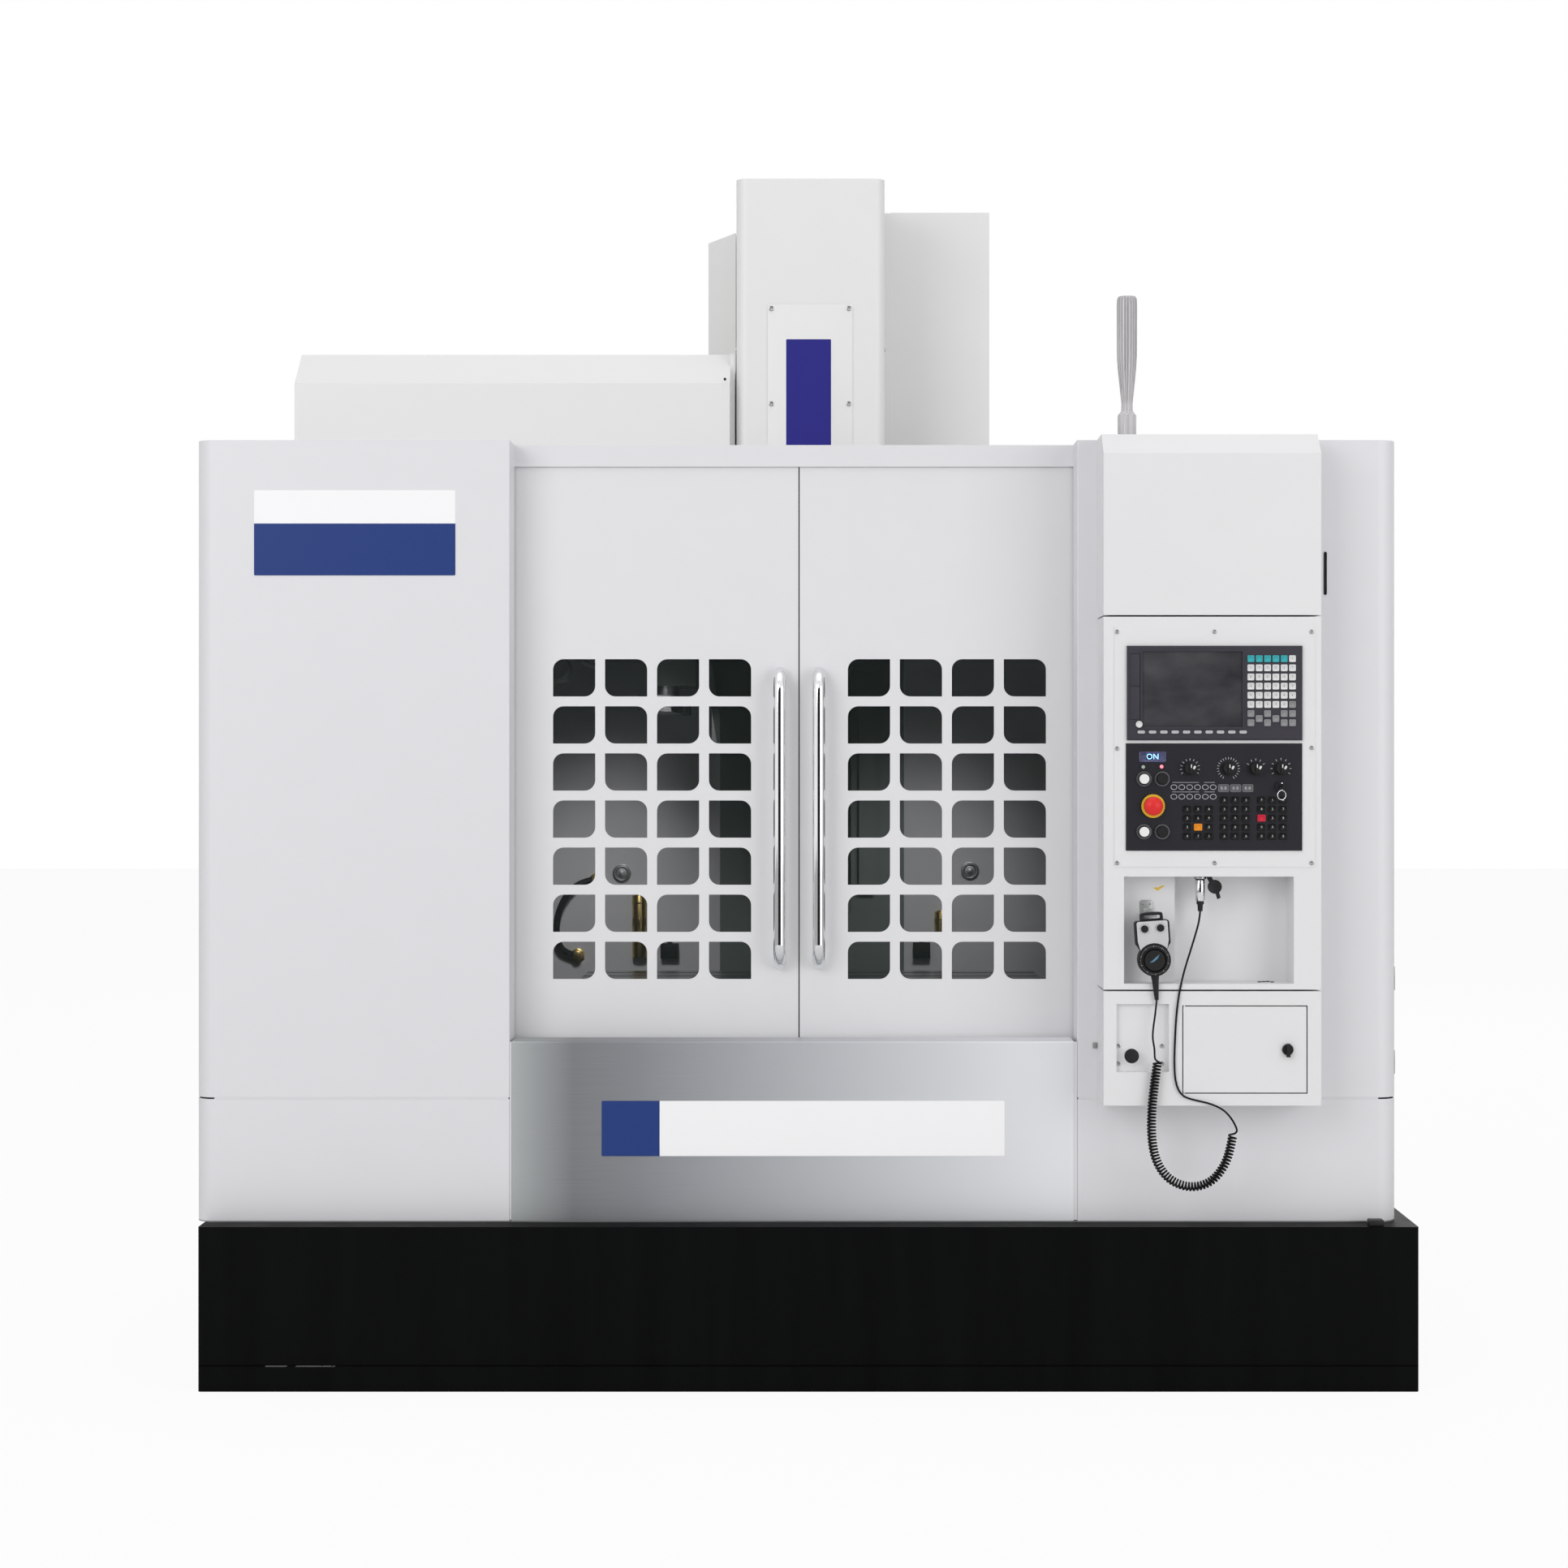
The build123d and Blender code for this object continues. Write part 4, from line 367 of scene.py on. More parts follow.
def clear():
    if bpy.context.mode != "OBJECT":
        bpy.ops.object.mode_set(mode="OBJECT")
    bpy.ops.object.select_all(action="DESELECT")


def only(piece):
    clear()
    piece.select_set(True)
    bpy.context.view_layer.objects.active = piece


def settle(piece):
    only(piece)
    bpy.ops.object.transform_apply(location=True, rotation=True, scale=True)
    return piece


def cube(name, low, high, edge=None):
    # edge is the width and the number of steps of a rounding
    clear()
    middle = [(a + b) / 2 for a, b in zip(low, high)]
    bpy.ops.mesh.primitive_cube_add(size=1, location=middle)
    piece = bpy.context.active_object
    piece.scale = [b - a for a, b in zip(low, high)]
    piece.name = name
    settle(piece)
    return soften(piece, *edge) if edge else piece


turns = {"x": (0, math.pi / 2, 0), "y": (math.pi / 2, 0, 0), "z": (0, 0, 0)}


def disc(name, centre, radius, depth, axis, sides, edge=None):
    clear()
    bpy.ops.mesh.primitive_cylinder_add(
        vertices=sides, radius=radius, depth=depth, location=centre, rotation=turns[axis]
    )
    piece = bpy.context.active_object
    piece.name = name
    settle(piece)
    return soften(piece, *edge) if edge else piece


def torus(place, major, minor, steps, sides, rotation=(0, 0, 0)):
    clear()
    bpy.ops.mesh.primitive_torus_add(
        major_radius=major, minor_radius=minor, major_segments=steps, minor_segments=sides,
        location=place, rotation=rotation,
    )
    return settle(bpy.context.active_object)


def textMesh(body, size, thick, fineness, place=(0, 0, 0)):
    clear()
    bpy.ops.object.text_add(rotation=(math.pi / 2, 0, 0))
    text = bpy.context.active_object
    text.location = place
    text.data.body = body
    text.data.size = size
    text.data.align_x = "CENTER"
    text.data.align_y = "CENTER"
    text.data.extrude = thick
    text.data.resolution_u = fineness
    bpy.ops.object.convert(target="MESH")
    return settle(bpy.context.active_object)


def pick(piece, test):
    # goes into edit mode with the faces chosen that pass the test
    only(piece)
    bpy.ops.object.mode_set(mode="EDIT")
    bpy.ops.mesh.select_mode(type="FACE")
    bpy.ops.mesh.select_all(action="DESELECT")
    bpy.ops.object.mode_set(mode="OBJECT")
    for face in piece.data.polygons:
        face.select = bool(test(face))
    bpy.ops.object.mode_set(mode="EDIT")


def facing(direction, least=0.99):
    return lambda face: face.normal.dot(Vector(direction)) > least


front = facing((0, -1, 0))


def press(piece, test, inset, push):
    # insets the chosen faces and moves the inner ones along their normal
    pick(piece, test)
    if inset:
        bpy.ops.mesh.inset(thickness=inset, use_even_offset=True)
    if push:
        bpy.ops.mesh.extrude_region_shrink_fatten(TRANSFORM_OT_shrink_fatten={"value": push})
    bpy.ops.object.mode_set(mode="OBJECT")


def cutOut(piece, test):
    pick(piece, test)
    bpy.ops.mesh.delete(type="FACE")
    bpy.ops.object.mode_set(mode="OBJECT")
    return piece


def soften(piece, width, segments=2, angle=30):
    only(piece)
    bevel = piece.modifiers.new("round", "BEVEL")
    bevel.width = width
    bevel.segments = segments
    bevel.limit_method = "ANGLE"
    bevel.angle_limit = math.radians(angle)
    bpy.ops.object.modifier_apply(modifier=bevel.name)
    bpy.ops.object.shade_smooth_by_angle(angle=math.radians(35))
    return piece


def copyTo(piece, place, angle=0.0):
    # a copy with its own mesh, turned about the origin and then moved
    other = piece.copy()
    other.data = piece.data.copy()
    turn = Matrix.Rotation(angle, 4, "Y")
    other.data.transform(Matrix.Translation(Vector(place)) @ turn)
    bpy.context.scene.collection.objects.link(other)
    return other


def merge(name, pieces):
    clear()
    for piece in pieces:
        piece.select_set(True)
    bpy.context.view_layer.objects.active = pieces[0]
    bpy.ops.object.join()
    pieces[0].name = name
    return pieces[0]


def drop(*pieces):
    for piece in pieces:
        bpy.data.objects.remove(piece)


def scatter(name, piece, places):
    made = merge(name, [copyTo(piece, place) for place in places])
    drop(piece)
    return made


def around(stroke, centre, radius, angles):
    # copies of a stroke round a centre, each pointing outwards
    x, y, z = centre
    made = []
    for angle in angles:
        spot = (x + math.sin(angle) * radius, y, z + math.cos(angle) * radius)
        made.append(copyTo(stroke, spot, angle))
    return made


def scallop(piece, beyond, teeth, pull):
    # draws every other vertex of a rim inwards
    for vertex in piece.data.vertices:
        x, y, z = vertex.co
        if math.hypot(x, z) > beyond and round(math.atan2(z, x) / math.pi * teeth) % 2:
            vertex.co.x *= pull
            vertex.co.z *= pull


def fit(piece, finish, body="machine"):
    piece.data.materials.clear()
    piece.data.materials.append(paint[finish] if isinstance(finish, str) else finish)
    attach(piece, body)
    return piece


def button(name, centre, size, sunk, edge=None):
    # a disc that faces the operator, with its front let in or raised inside a rim
    made = disc(name, centre, *size)
    press(made, front, *sunk)
    return soften(made, *edge) if edge else made


def frontPlaque(name, area, back, thick, corner=0.002, rounding=0.0006, sunk=None):
    # a flat piece with round corners that faces the operator
    left, right, low, high = area
    made = cube(name, (left, back - thick, low), (right, back, high))
    weights = made.data.attributes.new("bevel_weight_edge", "FLOAT", "EDGE")
    for edge in made.data.edges:
        a, b = (made.data.vertices[i].co for i in edge.vertices)
        weights.data[edge.index].value = float(abs(a.y - b.y) > thick / 2)
    only(made)
    corners = made.modifiers.new("corners", "BEVEL")
    corners.width = corner
    corners.segments = 4
    corners.limit_method = "WEIGHT"
    bpy.ops.object.modifier_apply(modifier=corners.name)
    if rounding:
        soften(made, rounding, 2)
    if sunk:
        press(made, front, *sunk)
    return made


# ---- the pendant's cord: a straight lead, a curly stretch and a straight tail
cord = {
    "wire": 0.0045,
    "coilAcross": 0.022,
    "pitch": 0.0073,
    "perTurn": 12,
    "opening": 0.006,
    "lead": [
        (0.80013, -1.276, 0.90644), (0.7975, -1.277, 0.878), (0.7925, -1.2785, 0.847),
        (0.790, -1.280, 0.820), (0.7945, -1.2815, 0.799), (0.8034, -1.282, 0.780),
    ],
    "coil": [
        (0.8034, 0.780), (0.794, 0.716), (0.7875, 0.651), (0.7878, 0.590),
        (0.798, 0.540), (0.826, 0.500), (0.873, 0.481), (0.921, 0.492),
        (0.953, 0.530), (0.9675, 0.574), (0.9735, 0.614),
    ],
    "coilY": -1.282,
    "tail": [
        (0.9735, -1.282, 0.614), (0.971, -1.280, 0.636), (0.952, -1.277, 0.658),
        (0.921, -1.275, 0.672), (0.886, -1.274, 0.679), (0.857, -1.273, 0.688),
        (0.843, -1.273, 0.716), (0.840, -1.273, 0.762), (0.842, -1.273, 0.818),
        (0.845, -1.273, 0.874), (0.852, -1.273, 0.926), (0.864, -1.268, 0.974),
        (0.880, -1.259, 1.020), (0.894, -1.247, 1.060), (0.902, -1.238, 1.086),
        (0.904, -1.235, 1.105),
    ],
}


def spline(name, points, thickness, smooth=3):
    line = bpy.data.curves.new(name, "CURVE")
    line.dimensions = "3D"
    line.resolution_u = smooth
    line.bevel_depth = thickness / 2
    line.bevel_resolution = 2
    line.use_fill_caps = thickness > 0
    run = line.splines.new("NURBS")
    run.points.add(len(points) - 1)
    for point, place in zip(run.points, points):
        point.co = (*place, 1)
    run.order_u = 3
    run.use_endpoint_u = True
    made = bpy.data.objects.new(name, line)
    bpy.context.scene.collection.objects.link(made)
    return made


def tube(name, places, radius):
    # a round rod or hose along a smooth line
    made = spline(name, places, radius * 2, 10)
    made.data.bevel_resolution = 4
    only(made)
    bpy.ops.object.convert(target="MESH")
    bpy.ops.object.shade_smooth()
    return settle(bpy.context.active_object)


def lineOf(curve):
    bpy.context.view_layer.update()
    mesh = bpy.data.meshes.new_from_object(curve)
    points = [vertex.co.copy() for vertex in mesh.vertices]
    bpy.data.meshes.remove(mesh)
    return points


def lengthOf(points):
    return sum((b - a).length for a, b in zip(points, points[1:]))


def helix(points, radius, pitch, perTurn, opening):
    # turns round the route; at both ends the first steps open out along it
    total = lengthOf(points)
    count = round((total - 4 * opening) / pitch) * perTurn
    opened = [2 * opening * (1 - 0.5 ** step) for step in range(count + 1)]
    even = (total - 2 * opened[-1]) / count
    side = Vector((0, -1, 0))
    made = []
    index, walked = 0, 0.0
    for step in range(count + 1):
        along = even * step + opened[step] + opened[-1] - opened[count - step]
        along = min(along, total * 0.9999)
        while walked + (points[index + 1] - points[index]).length < along:
            walked += (points[index + 1] - points[index]).length
            index += 1
        start, end = points[index], points[index + 1]
        heading = (end - start).normalized()
        centre = start + heading * (along - walked)
        across = heading.cross(side).normalized()
        angle = 2 * math.pi * step / perTurn
        made.append(centre + (across * math.cos(angle) + side * math.sin(angle)) * radius)
    return made


coilRoute = spline("coilRoute", [(x, cord["coilY"], z) for x, z in cord["coil"]], 0, 12)
coilLine = lineOf(coilRoute)
drop(coilRoute)
coilRadius = (cord["coilAcross"] - cord["wire"]) / 2
turnsOfCoil = helix(coilLine, coilRadius, cord["pitch"], cord["perTurn"], cord["opening"])
cordPoints = cord["lead"][:-1] + [tuple(p) for p in turnsOfCoil] + cord["tail"][1:]
bare = spline("bare", cordPoints, 0, 3)
cordLength = lengthOf(lineOf(bare))
drop(bare)
pendantCord = spline("pendant_cord", cordPoints, cord["wire"], 3)
fit(pendantCord, "jacket")
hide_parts("cord_lead", "cord_coil", "cord_tail")
print("cord laid, metres of wire:", round(cordLength, 3))


# ---- screws, one model for all
screw = {
    "radius": 0.0050,
    "rise": 0.0024,
    "round": (0.0007, 2),
    "rim": 0.0025 * 0.7,
    "sunk": 0.55,
    "console": (
        (711, 1740), (932, 1740), (1152, 1740), (711, 1475.5),
        (1152, 1477), (711, 1216), (932, 1216), (1152, 1216),
    ),
    "hood": [(x, z) for x in (-87, 109) for z in (2590, 2349, 2160)],
    "hoodScale": 1.3,
    "socket": [(x, z) for x in (715.5, 815) for z in (760, 800)],
}


def screwRow(name, places, body="machine", scale=1.0):
    rise = screw["rise"]
    head = disc("screwHead", (0, -rise / 2, 0), screw["radius"], rise, "y", 20, screw["round"])
    press(head, front, screw["rim"], -rise * screw["sunk"])
    head.data.transform(Matrix.Scale(scale, 4))
    return fit(scatter(name, head, places), "screw", body)


def mm(*values):
    return tuple(value / 1000 for value in values)


screwRow("front_plate_screws", [mm(x, -1270, z) for x, z in screw["console"]])
places = [mm(x, -532, z) for x, z in screw["hood"]]
screwRow("head_cover_screws", places, "spindle_head", screw["hoodScale"])
screwRow("socket_plate_screws", [mm(x, -1254, z) for x, z in screw["socket"]])
print("screws placed")

# ---- bare plates where the machine carries its labels
plates = {
    "thick": 0.0012,
    "corner": 0.0025,
    "edge": (0.0003, 1),
    "name": (-1.2744, -0.8077, 1.8772, 2.0748),
    "nameFront": -1.120,
    "nameSplit": 1.9976,
    "apron": (-0.4685, 0.4656, 0.531, 0.659),
    "apronSplit": -0.334,
    "strip": (-0.0495, 0.064, 2.190, 2.512),
    "headFront": -0.532,
    "blue": (0.018, 0.046, 0.205),
    "violet": (0.024, 0.022, 0.225),
    "white": (0.93, 0.93, 0.94),
}


def plateFinish(name, first, second, axis, split):
    # foil plate in two fields, split along one axis
    coat = Finish(name, first, 0.32)
    coat.set("Specular IOR Level", 0.15)
    grain = coat.noise(240.0, 2.0)
    along = coat.x if axis == "x" else coat.z
    field = coat.blend(along > split, first, second)
    coat.set("Base Color", coat.blend(grain * 0.02, field, (0.5, 0.5, 0.5)))
    coat.set("Roughness", 0.26 + grain * 0.12)
    coat.bump(coat.noise(30.0, 2.0), 0.0001, 0.3)
    return coat.material


def plate(name, area, back, finish, body="machine"):
    made = frontPlaque(name, area, back, plates["thick"], plates["corner"], 0)
    soften(made, *plates["edge"])
    return fit(made, finish, body)


blue, violet, white = plates["blue"], plates["violet"], plates["white"]
nameFoil = plateFinish("nameFoil", blue, white, "z", plates["nameSplit"])
apronFoil = plateFinish("apronFoil", blue, white, "x", plates["apronSplit"])
stripFoil = plateFinish("stripFoil", violet, violet, "z", 0.0)
plate("name_plate", plates["name"], plates["nameFront"], nameFoil)
plate("apron_plate", plates["apron"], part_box("apron")[0].y, apronFoil)
plate("head_strip", plates["strip"], plates["headFront"], stripFoil, "spindle_head")
print("plates placed")


# ---- display unit: glass, frame, card door and keys
display = {
    "face": -1.279,
    "screen": (0.768, 0.994, 1.524, 1.695),
    "glass": (-1.2752, 0.0012, 0.002, 0),
    "frame": 0.0045,
    "frameRise": 0.0016,
    "frameCorner": 0.006,
    "frameWall": 0.0008,
    "lids": {
        "card_door": ((0.7405, 0.7615, 1.617, 1.689), 0.0018),
        "card_cover": ((0.7405, 0.7615, 1.541, 1.615), 0.0014),
    },
    "lidBack": -1.277,
    "lidCorner": 0.0012,
    "roundKey": ((0.7600, -1.281, 1.530), 0.0075, 0.004, "y", 28, (0.0009, 2)),
    "roundSunk": (0.0012, -0.0004),
    "mdi": (1.0597, 1.606),
    "mdiPitch": (0.0188, 0.0207),
    "mdiSize": (0.0152, 0.0152),
    "soft": (0.880, 1.5125),
    "softPitch": (0.0256, 0),
    "softSize": (0.0168, 0.0068),
    "softDepth": (0.0022, 0.0030),
    "digitSize": 0.0066,
}


def keyCap(width, height, rise, corner):
    area = (-width / 2, width / 2, -height / 2, height / 2)
    cap = frontPlaque("keyCap", area, 0, rise, corner, 0.0005)
    press(cap, facing((0, -1, 0), 0.995), corner * 0.4, 0)
    press(cap, lambda f: f.normal.y < -0.995 and f.area > width * height * 0.3, 0.0004, -0.0003)
    return cap


def keyBlock(name, places, size, finish, slot, rise=0.003, corner=0.0022):
    return fit(scatter(name, keyCap(*size, rise, corner), places), finish)


def grid(x, z, columns, rows, pitch, y):
    # places in rows, counted from the upper left
    made = {}
    for column in range(columns):
        for row in range(rows):
            across, up = column - (columns - 1) / 2, (rows - 1) / 2 - row
            made[column, row] = (x + across * pitch[0], y, z + up * pitch[1])
    return made


def screenFinish():
    # dark screen under its protective film: broad soft smears and finer wipes
    coat = Finish("screenGlass", (0.03, 0.03, 0.034), 0.16)
    cloud = coat.noise(9.0, 3.0, 0.5, (1, 1, 1.6))
    wipe = coat.noise(5.0, 4.0, 0.6, (2.0, 1, 5.0))
    glass = coat.ramp(cloud, [(0.3, (0.026, 0.026, 0.031)), (0.7, (0.072, 0.072, 0.078))])
    coat.set("Base Color", coat.blend(wipe * 0.25, glass, (0.09, 0.09, 0.10)))
    coat.set("Roughness", 0.10 + wipe * 0.16)
    coat.bump(wipe, 0.0003, 0.4)
    return coat.material


paint["screen"] = screenFinish()
for tint, name, colour, roughness in (
    ("teal", "tealKey", (0.042, 0.40, 0.44), 0.38),
    ("softKey", "softKey", (0.50, 0.50, 0.52), 0.40),
    ("keyWhite", "whiteKey", (0.74, 0.74, 0.74), 0.38),
    ("keyGrey", "greyKey", (0.27, 0.27, 0.28), 0.42),
    ("keyBlack", "blackKey", (0.004, 0.004, 0.0045), 0.34),
    ("orange", "orangeKey", (0.80, 0.27, 0.012), 0.36),
    ("keyRed", "redKey", (0.60, 0.018, 0.045), 0.36),
    ("legend", "legendInk", (0.56, 0.56, 0.58), 0.5),
    ("counter", "counterGrey", (0.13, 0.13, 0.14), 0.4),
    ("legendGrey", "legendGrey", (0.26, 0.26, 0.28), 0.5),
    ("legendDark", "legendDark", (0.06, 0.06, 0.07), 0.5),
    ("silver", "silverFoil", (0.56, 0.56, 0.58), 0.36),
    ("sky", "skyInk", (0.10, 0.22, 0.33), 0.4),
):
    paint[tint] = moulded(name, colour, roughness)
paint["smear"] = moulded("yellowSmear", (0.78, 0.52, 0.08), 0.5, 120.0)
paint["ring"] = brushedSteel("darkRing", (0.26, 0.26, 0.27), "z", 0.3)

screen = frontPlaque("screen_glass", display["screen"], *display["glass"])
fit(screen, "screen")

# the screen's raised border: a plaque whose front is inset and whose middle is taken out
left, right, low, high = display["screen"]
wide, rise = display["frame"], display["frameRise"]
area = (left - wide, right + wide, low - wide, high + wide)
border = frontPlaque("screen_frame", area, display["face"], rise, display["frameCorner"], 0)
press(border, front, wide, 0)
middle = Vector(((left + right) / 2, display["face"] - rise, (low + high) / 2))
cutOut(border, lambda f: (f.center - middle).length < 0.002 or f.normal.y > 0.99)
only(border)
wall = border.modifiers.new("wall", "SOLIDIFY")
wall.thickness = display["frameWall"]
wall.offset = -1
bpy.ops.object.modifier_apply(modifier=wall.name)
soften(border, 0.0003, 1)
fit(border, "bezel")
for name, (area, thick) in display["lids"].items():
    lid = frontPlaque(name, area, display["lidBack"], thick, display["lidCorner"])
    fit(lid, "bezel")
roundKey = disc("round_key", *display["roundKey"])
press(roundKey, front, *display["roundSunk"])
fit(roundKey, "keyWhite")

mdi = grid(*display["mdi"], 6, 8, display["mdiPitch"], display["face"])
for column in (1, 3):  # the arrow cluster's side keys stand half a row down
    x, y, z = mdi.pop((column, 7))
    mdi[column, 6] = (x, y, z + display["mdiPitch"][1] * 0.45)
teal = [key for key in mdi if key[1] == 0 and key[0] < 5]
grey = [key for key in mdi if key[1] > 5 or key == (5, 5)]
white = [key for key in mdi if key not in teal and key not in grey]
for name, keys, finish in (
    ("teal_keys", teal, "teal"),
    ("grey_keys", grey, "keyGrey"),
    ("white_keys", white, "keyWhite"),
):
    keyBlock(name, [mdi[key] for key in keys], display["mdiSize"], finish, "key_plastic")
softKeys = grid(*display["soft"], 10, 1, display["softPitch"], display["face"]).values()
keyBlock("soft_keys", softKeys, display["softSize"], "softKey", "key_plastic", *display["softDepth"])


def legends(name, marks, size, finish):
    # plain numbers on the keys: (digit, place)
    stock = {digit: textMesh(digit, size, 0.00012, 2) for digit in "0123456789"}
    made = merge(name, [copyTo(stock[digit], place) for digit, place in marks])
    drop(*stock.values())
    return fit(made, finish)


def numbered(places, rise=0.003):
    # counts the keys' places, for digits on their caps
    return [(str((i + 1) % 10), (x, y - rise, z)) for i, (x, y, z) in enumerate(places)]


order = sorted(white, key=lambda key: (key[1], key[0]))
legends("display_numbers", numbered([mdi[key] for key in order]), display["digitSize"], "legendGrey")
print("display dressed")


# ---- operator panel: scales, ovals, counters, lamps and keys
panel = {
    "face": -1.273,
    "knobs": {
        "feed_override_knob": (0.876, 1.430, 0.0205, 11, -120, 120),
        "spindle_override_knob": (0.963, 1.430, 0.0235, 21, -150, 150),
        "rapid_override_knob": (1.025, 1.430, 0.0205, 5, -60, 60),
        "mode_knob": (1.082, 1.430, 0.0215, 9, -120, 120),
    },
    "tick": (0.0011, 0.0050),
    "ink": 0.0003,
    "ovals": (0.884, 1.377),
    "ovalPitch": (0.0178, 0.0215),
    "oval": (0.0145, 0.0120, 0.0010),
    "counters": ((0.9518, 1.3855), (0.9790, 1.3855), (1.0066, 1.3855)),
    "counterSize": (0.0255, 0.0180),
    "counterDepth": (0.0014, 0.0035, 0.0004, (0.0025, -0.0006)),
    "counterDigits": (-0.0045, 0.0045),
    "readout": (0.7605, 0.8217, 1.4445, 1.4683),
    "readoutDepth": (0.0022, 0.0030, 0.0005, (0.0018, -0.0008)),
    "raised": 0.0009,
    "digitSizes": (0.010, 0.0075),
    "rows": {"a": (0.894, 1.3075, 3, 4), "b": (0.978, 1.3178, 3, 5), "c": (1.0622, 1.3178, 3, 5)},
    "pitch": (0.0246, 0.0204),
    "keySize": (0.0184, 0.0154),
    "lines": ((0.836, 0.896), (0.908, 0.932)),
    "lineWidth": 0.0007,
    "linesAt": (1.3985, 1.3770),
    "word": ("ON", 0.018, 0.0002, 3, (0.7911, -1.2746, 1.4564)),
    "lamps": (
        ("green_lamp", 0.7700, 1.4335, (0.35, 0.42, 0.36), 0.15),
        ("red_lamp", 0.8115, 1.4343, (1.0, 0.09, 0.16), 1.6),
    ),
    "collars": {
        "feed_start_collar": (0.7715, 1.4065),
        "feed_hold_collar": (0.8127, 1.4065),
        "power_on_collar": (0.7715, 1.287),
        "power_off_collar": (0.8127, 1.287),
    },
    "collar": (0.0140, 0.0175, 0.0045, 22),
    "stop": {"stop_ring": (0.792, 1.345)},
    "stopRing": (0.0212, 0.0272, 0.0052, 30),
    "lamp": (0.0042, 0.0018, "y", 20, (0.0008, 3)),
    "pointer": (0.0022, 0.0075, 0.0004),
    "pointerAt": (0.0001, 0.0001, 0.0055),
    "index": (0.0048, 0.0080, 0.0006),
    "indexAt": (0.0074, 0.0041, 0.0022),
    "indexTurn": 0.55,
    "keyRing": ((1.0805, -1.2925, 1.3700), 0.0105, 0.0009, 40, 8, (math.pi / 2, 0, 0.35)),
}
face = panel["face"]


def bar(width, height, thick):
    area = (-width / 2, width / 2, -height / 2, height / 2)
    return frontPlaque("bar", area, 0, thick, min(width, height) * 0.3, 0)


def ring(across, up, width, rise):
    # a flat outline: a rim of the given width round an oval
    made = disc("ring", (0, -rise / 2, 0), 0.01, rise, "y", 28)
    made.data.transform(Matrix.Diagonal((across / 0.02, 1, up / 0.02, 1)))
    press(made, front, width, 0)
    return cutOut(made, lambda f: abs(f.normal.y) > 0.99 and f.center.length < width + rise)


ticks = []
stroke = bar(*panel["tick"], panel["ink"])
for x, z, radius, count, first, last in panel["knobs"].values():
    angles = [math.radians(first + (last - first) * i / (count - 1)) for i in range(count)]
    ticks += around(stroke, (x, face, z), radius, angles)
outline = ring(*panel["oval"], panel["ink"])
for place in grid(*panel["ovals"], 6, 2, panel["ovalPitch"], face).values():
    ticks.append(copyTo(outline, place))
drop(stroke, outline)
for z in panel["linesAt"]:
    for left, right in panel["lines"]:
        line = bar(right - left, panel["lineWidth"], panel["ink"])
        ticks.append(copyTo(line, ((left + right) / 2, face, z)))
        drop(line)
fit(merge("panel_scales", ticks), "legend")

wide, tall = panel["counterSize"]
for i, (x, z) in enumerate(panel["counters"]):
    area = (x - wide / 2, x + wide / 2, z - tall / 2, z + tall / 2)
    body = frontPlaque(f"counter_{i + 1}", area, face, *panel["counterDepth"])
    fit(body, "counter")
y = face - panel["raised"]
marks = [("0", (x + shift, y, z)) for shift in panel["counterDigits"] for x, z in panel["counters"]]
legends("counter_numbers", marks, panel["digitSizes"][0], "legend")

spots = {}
for block, sizes in panel["rows"].items():
    for key, place in grid(*sizes, panel["pitch"], face).items():
        spots[(block, *key)] = place
special = {("a", 1, 2): ("orange_key", "orange"), ("c", 0, 2): ("red_key", "keyRed")}
plainKeys = [key for key in spots if key not in special]
keyBlock("panel_keys", [spots[key] for key in plainKeys], panel["keySize"], "keyBlack", "dark_plastic")
for key, (name, finish) in special.items():
    keyBlock(name, [spots[key]], panel["keySize"], finish, "key_plastic")
marks = numbered([spots[key] for key in plainKeys])
legends("panel_numbers", marks, panel["digitSizes"][1], "legend")
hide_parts("keypad_keys")


def glowing(name, colour, strength):
    coat = Finish(name, colour, 0.3)
    grain = coat.noise(300.0, 1.0)
    coat.set("Base Color", coat.blend(grain, colour, tuple(part * 0.8 for part in colour)))
    coat.set("Emission Color", coat.blend(grain * 0.3, colour, (1, 1, 1)))
    coat.set("Emission Strength", strength)
    return coat.material


readout = frontPlaque("readout", panel["readout"], face, *panel["readoutDepth"])
fit(readout, glowing("readoutBlue", (0.003, 0.004, 0.075), 0.35))
word = textMesh(*panel["word"])
word.name = "readout_word"
fit(word, glowing("readoutWord", (0.10, 0.42, 1.0), 2.4))
y = face - panel["raised"]
for name, x, z, colour, strength in panel["lamps"]:
    lamp = disc(name, (x, y, z), *panel["lamp"])
    fit(lamp, glowing(name + "_lens", colour, strength))


def knurledRing(inner, outer, rise, teeth):
    # a flat ring with a knurled rim, round a push button
    made = disc("knurl", (0, -rise / 2, 0), outer, rise, "y", teeth * 2)
    press(made, front, outer - inner, 0)
    cutOut(made, lambda f: abs(f.normal.y) > 0.99 and f.center.length < inner * 0.5 + rise)
    scallop(made, (inner + outer) / 2, teeth, 0.955)
    return made


for rings, sizes, finish, slot in (
    ("collars", "collar", "ring", "ground_steel"),
    ("stop", "stopRing", "yellow", "panel_film"),
):
    knurl = knurledRing(*panel[sizes])
    for name, (x, z) in panel[rings].items():
        collar = copyTo(knurl, (x, face, z))
        collar.name = name
        fit(collar, finish)
    drop(knurl)

# white pointer on each knob, turned to the right as in the photograph
for name, (x, z, *_) in panel["knobs"].items():
    top = Vector((x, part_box(name)[0].y, z))
    pointer, index = bar(*panel["pointer"]), bar(*panel["index"])
    marks = [copyTo(pointer, top + Vector(panel["pointerAt"]))]
    marks.append(copyTo(index, top + Vector(panel["indexAt"]), panel["indexTurn"]))
    drop(pointer, index)
    fit(merge(name.replace("_knob", "_pointer"), marks), "keyWhite", name)

